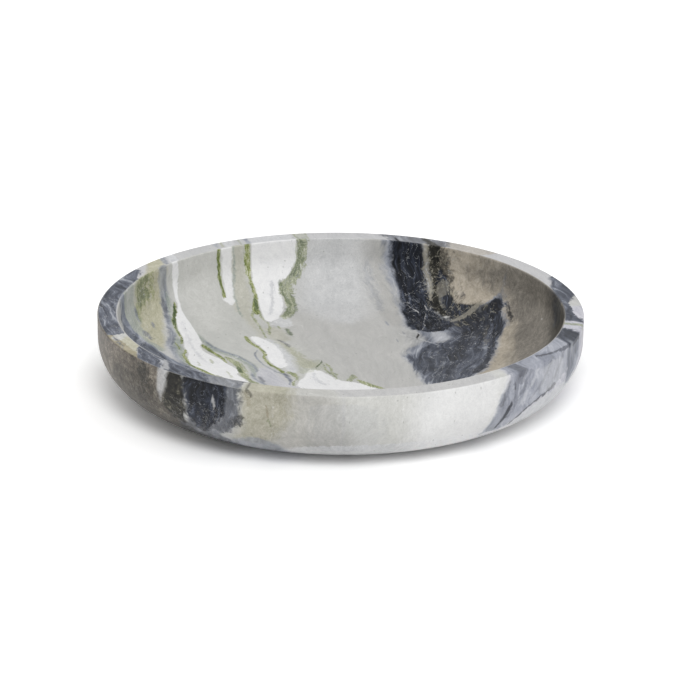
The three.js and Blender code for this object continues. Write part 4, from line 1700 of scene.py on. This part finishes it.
@dataclass
class FootPads:
    """The felt discs under the base and the adhesive film on each."""

    count: int = 4
    sides: int = 72
    edge: float = 0.4
    edge_steps: int = 4
    rings: int = 6
    # How many rings' width the middle takes up, how near counts as level, and the sharpest smooth edge
    middle: float = 1.5
    near: float = 0.01
    smooth: float = math.radians(40)
    felt: FeltFinish = field(default_factory=FeltFinish)
    adhesive: AdhesiveFinish = field(default_factory=AdhesiveFinish)

    def build(self, node: str) -> bpy.types.Object:
        """Model one felt disc where the frame has it.

        Args:
            node: The frame's felt disc.

        Returns:
            The felt disc.
        """
        low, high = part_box(node)
        middle = (low + high) / 2
        radius = (high.x - low.x) / 2
        start_clean()
        bpy.ops.mesh.primitive_cylinder_add(
            vertices=self.sides, radius=radius, depth=high.z - low.z, location=middle, end_fill_type="NGON"
        )
        disc = bpy.context.object
        disc.name = disc.data.name = node.replace("felt_pad", "felt_disc")
        bpy.ops.object.transform_apply(location=True, rotation=True, scale=True)
        bpy.ops.object.mode_set(mode="EDIT")
        self._select_lower_edge(disc, low.z)
        bpy.ops.mesh.bevel(offset=self.edge * MM, segments=self.edge_steps, affect="EDGES")
        self._select_underside(disc, low.z)
        for _ in range(self.rings):
            bpy.ops.mesh.inset(thickness=radius / (self.rings + self.middle))
        bpy.ops.mesh.select_all(action="SELECT")
        bpy.ops.mesh.normals_make_consistent(inside=False)
        bpy.ops.object.mode_set(mode="OBJECT")
        bpy.ops.object.shade_smooth_by_angle(angle=self.smooth)
        return disc

    def _lies_at(self, part: bmesh.types.BMEdge | bmesh.types.BMFace, level: float) -> bool:
        """Whether an edge or a face lies at a level."""
        return all(abs(vert.co.z - level) < self.near * MM for vert in part.verts)

    def _select_lower_edge(self, disc: bpy.types.Object, level: float) -> None:
        """Select the loop round the underside."""
        bpy.ops.mesh.select_all(action="DESELECT")
        mesh = bmesh.from_edit_mesh(disc.data)
        for edge in mesh.edges:
            edge.select_set(self._lies_at(edge, level))
        bmesh.update_edit_mesh(disc.data)

    def _select_underside(self, disc: bpy.types.Object, level: float) -> None:
        """Select the flat face underneath."""
        bpy.ops.mesh.select_mode(type="FACE")
        bpy.ops.mesh.select_all(action="DESELECT")
        mesh = bmesh.from_edit_mesh(disc.data)
        for face in mesh.faces:
            face.select_set(self._lies_at(face, level))
        bmesh.update_edit_mesh(disc.data)

    def make(self, nodes: Mapping[str, bpy.types.Object]) -> list[bpy.types.Object]:
        """Build, dress and fix all the pads, and dress their films.

        Args:
            nodes: The frame's nodes.

        Returns:
            The felt discs.
        """
        felt = self.felt.material()
        adhesive = self.adhesive.material()
        discs = []
        for number in range(1, self.count + 1):
            node = f"felt_pad_{number}"
            disc = self.build(node)
            dress(disc, felt)
            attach(disc, BODY)
            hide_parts(node)
            dress(nodes[f"adhesive_film_{number}"], adhesive)
            discs.append(disc)
        return discs


# Studio


@dataclass
class Studio:
    """A pale floor, soft light and the camera, in metres. The lens and the sensor are in mm."""

    floor_radius: float = 4.0
    floor_sides: int = 96
    floor_colour: Colour = (0.92, 0.92, 0.92, 1.0)
    floor_lift: Colour = (0.36, 0.36, 0.36, 1.0)
    world_level: float = 0.93
    key_place: Vector = field(default_factory=lambda: Vector((0.4, -2.6, 3.2)))
    key_size: float = 2.0
    key_power: float = 56.0
    elevation: float = math.radians(20.46)
    distance: float = 2.0542
    lens: float = 166.83
    sensor: float = 36.0
    roll: float = math.radians(0.58)
    aim_right: float = 0.00602
    aim_up: float = 0.02185
    far: float = 50.0

    def make(self) -> None:
        """Set up the floor, the world, the lamp and the camera."""
        self._floor()
        self._world()
        self._key()
        self._camera()
        bpy.context.scene.view_settings.view_transform = "Standard"

    def _floor(self) -> None:
        """A wide pale disc at the level that the pads stand on."""
        start_clean()
        bpy.ops.mesh.primitive_circle_add(
            vertices=self.floor_sides, radius=self.floor_radius, fill_type="NGON"
        )
        floor = bpy.context.object
        floor.name = floor.data.name = "studio_floor"
        material, tree = new_material("studio_floor")
        matt = tree.add("ShaderNodeBsdfDiffuse", None, {"Color": self.floor_colour}).outputs[0]
        lift = tree.add("ShaderNodeBsdfDiffuse", None, {"Color": self.floor_lift}).outputs[0]
        bright = tree.add("ShaderNodeAddShader", None, {"Shader": matt, "Shader_001": lift}).outputs[0]
        sockets = {"Fac": self._seen(tree), "Shader": matt, "Shader_001": bright}
        shown = tree.add("ShaderNodeMixShader", None, sockets).outputs[0]
        tree.add("ShaderNodeOutputMaterial", None, {"Surface": shown})
        dress(floor, material)

    @staticmethod
    def _seen(tree: Nodes) -> Value:
        """One for what the camera sees, straight or in a reflection, and zero for the rest."""
        rays = tree.add("ShaderNodeLightPath").outputs
        straight, glossy, through = (
            Value(tree, rays[name]) for name in ("Is Camera Ray", "Is Glossy Ray", "Is Transmission Ray")
        )
        return tree.largest(straight, tree.largest(glossy, through))

    def _world(self) -> None:
        """Even white light all round, and plain white to the eye."""
        world = bpy.data.worlds.new("studio_world")
        world.use_nodes = True
        tree = Nodes(world.node_tree)
        level = self.world_level + (1.0 - self.world_level) * self._seen(tree)
        light = tree.add("ShaderNodeBackground", None, {"Strength": level})
        tree.add("ShaderNodeOutputWorld", None, {"Surface": light.outputs[0]})
        bpy.context.scene.world = world

    def _key(self) -> None:
        """A soft lamp, high at the front and a little to the right."""
        lamp = bpy.data.lights.new("key_lamp", "AREA")
        lamp.shape = "DISK"
        lamp.size = self.key_size
        lamp.energy = self.key_power
        key = bpy.data.objects.new("key_lamp", lamp)
        key.location = self.key_place
        key.rotation_euler = (-self.key_place).to_track_quat("-Z", "Y").to_euler()
        bpy.context.scene.collection.objects.link(key)

    def _camera(self) -> None:
        """The camera, at the photograph's angle."""
        eye = bpy.data.cameras.new("camera")
        eye.sensor_width = self.sensor
        eye.lens = self.lens
        eye.clip_end = self.far
        camera = bpy.data.objects.new("camera", eye)
        right = Vector((1, 0, 0))
        forward = Vector((0, math.cos(self.elevation), -math.sin(self.elevation)))
        upward = right.cross(forward)
        place = right * self.aim_right + upward * self.aim_up - forward * self.distance
        level = Matrix((right, upward, -forward)).transposed()
        turned = level @ Matrix.Rotation(self.roll, 3, "Z")
        camera.matrix_world = Matrix.Translation(place) @ turned.to_4x4()
        bpy.context.scene.collection.objects.link(camera)
        bpy.context.scene.camera = camera


def main() -> None:
    """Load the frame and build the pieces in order."""
    logging.basicConfig(level=logging.INFO, format="%(name)s: %(message)s")
    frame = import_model()
    stone = StoneBowl().make()
    log.info("%s has %d faces", stone.name, len(stone.data.polygons))
    for disc in FootPads().make(frame["nodes"]):
        log.info("%s has %d faces", disc.name, len(disc.data.polygons))
    Studio().make()


if __name__ == "__main__":
    main()
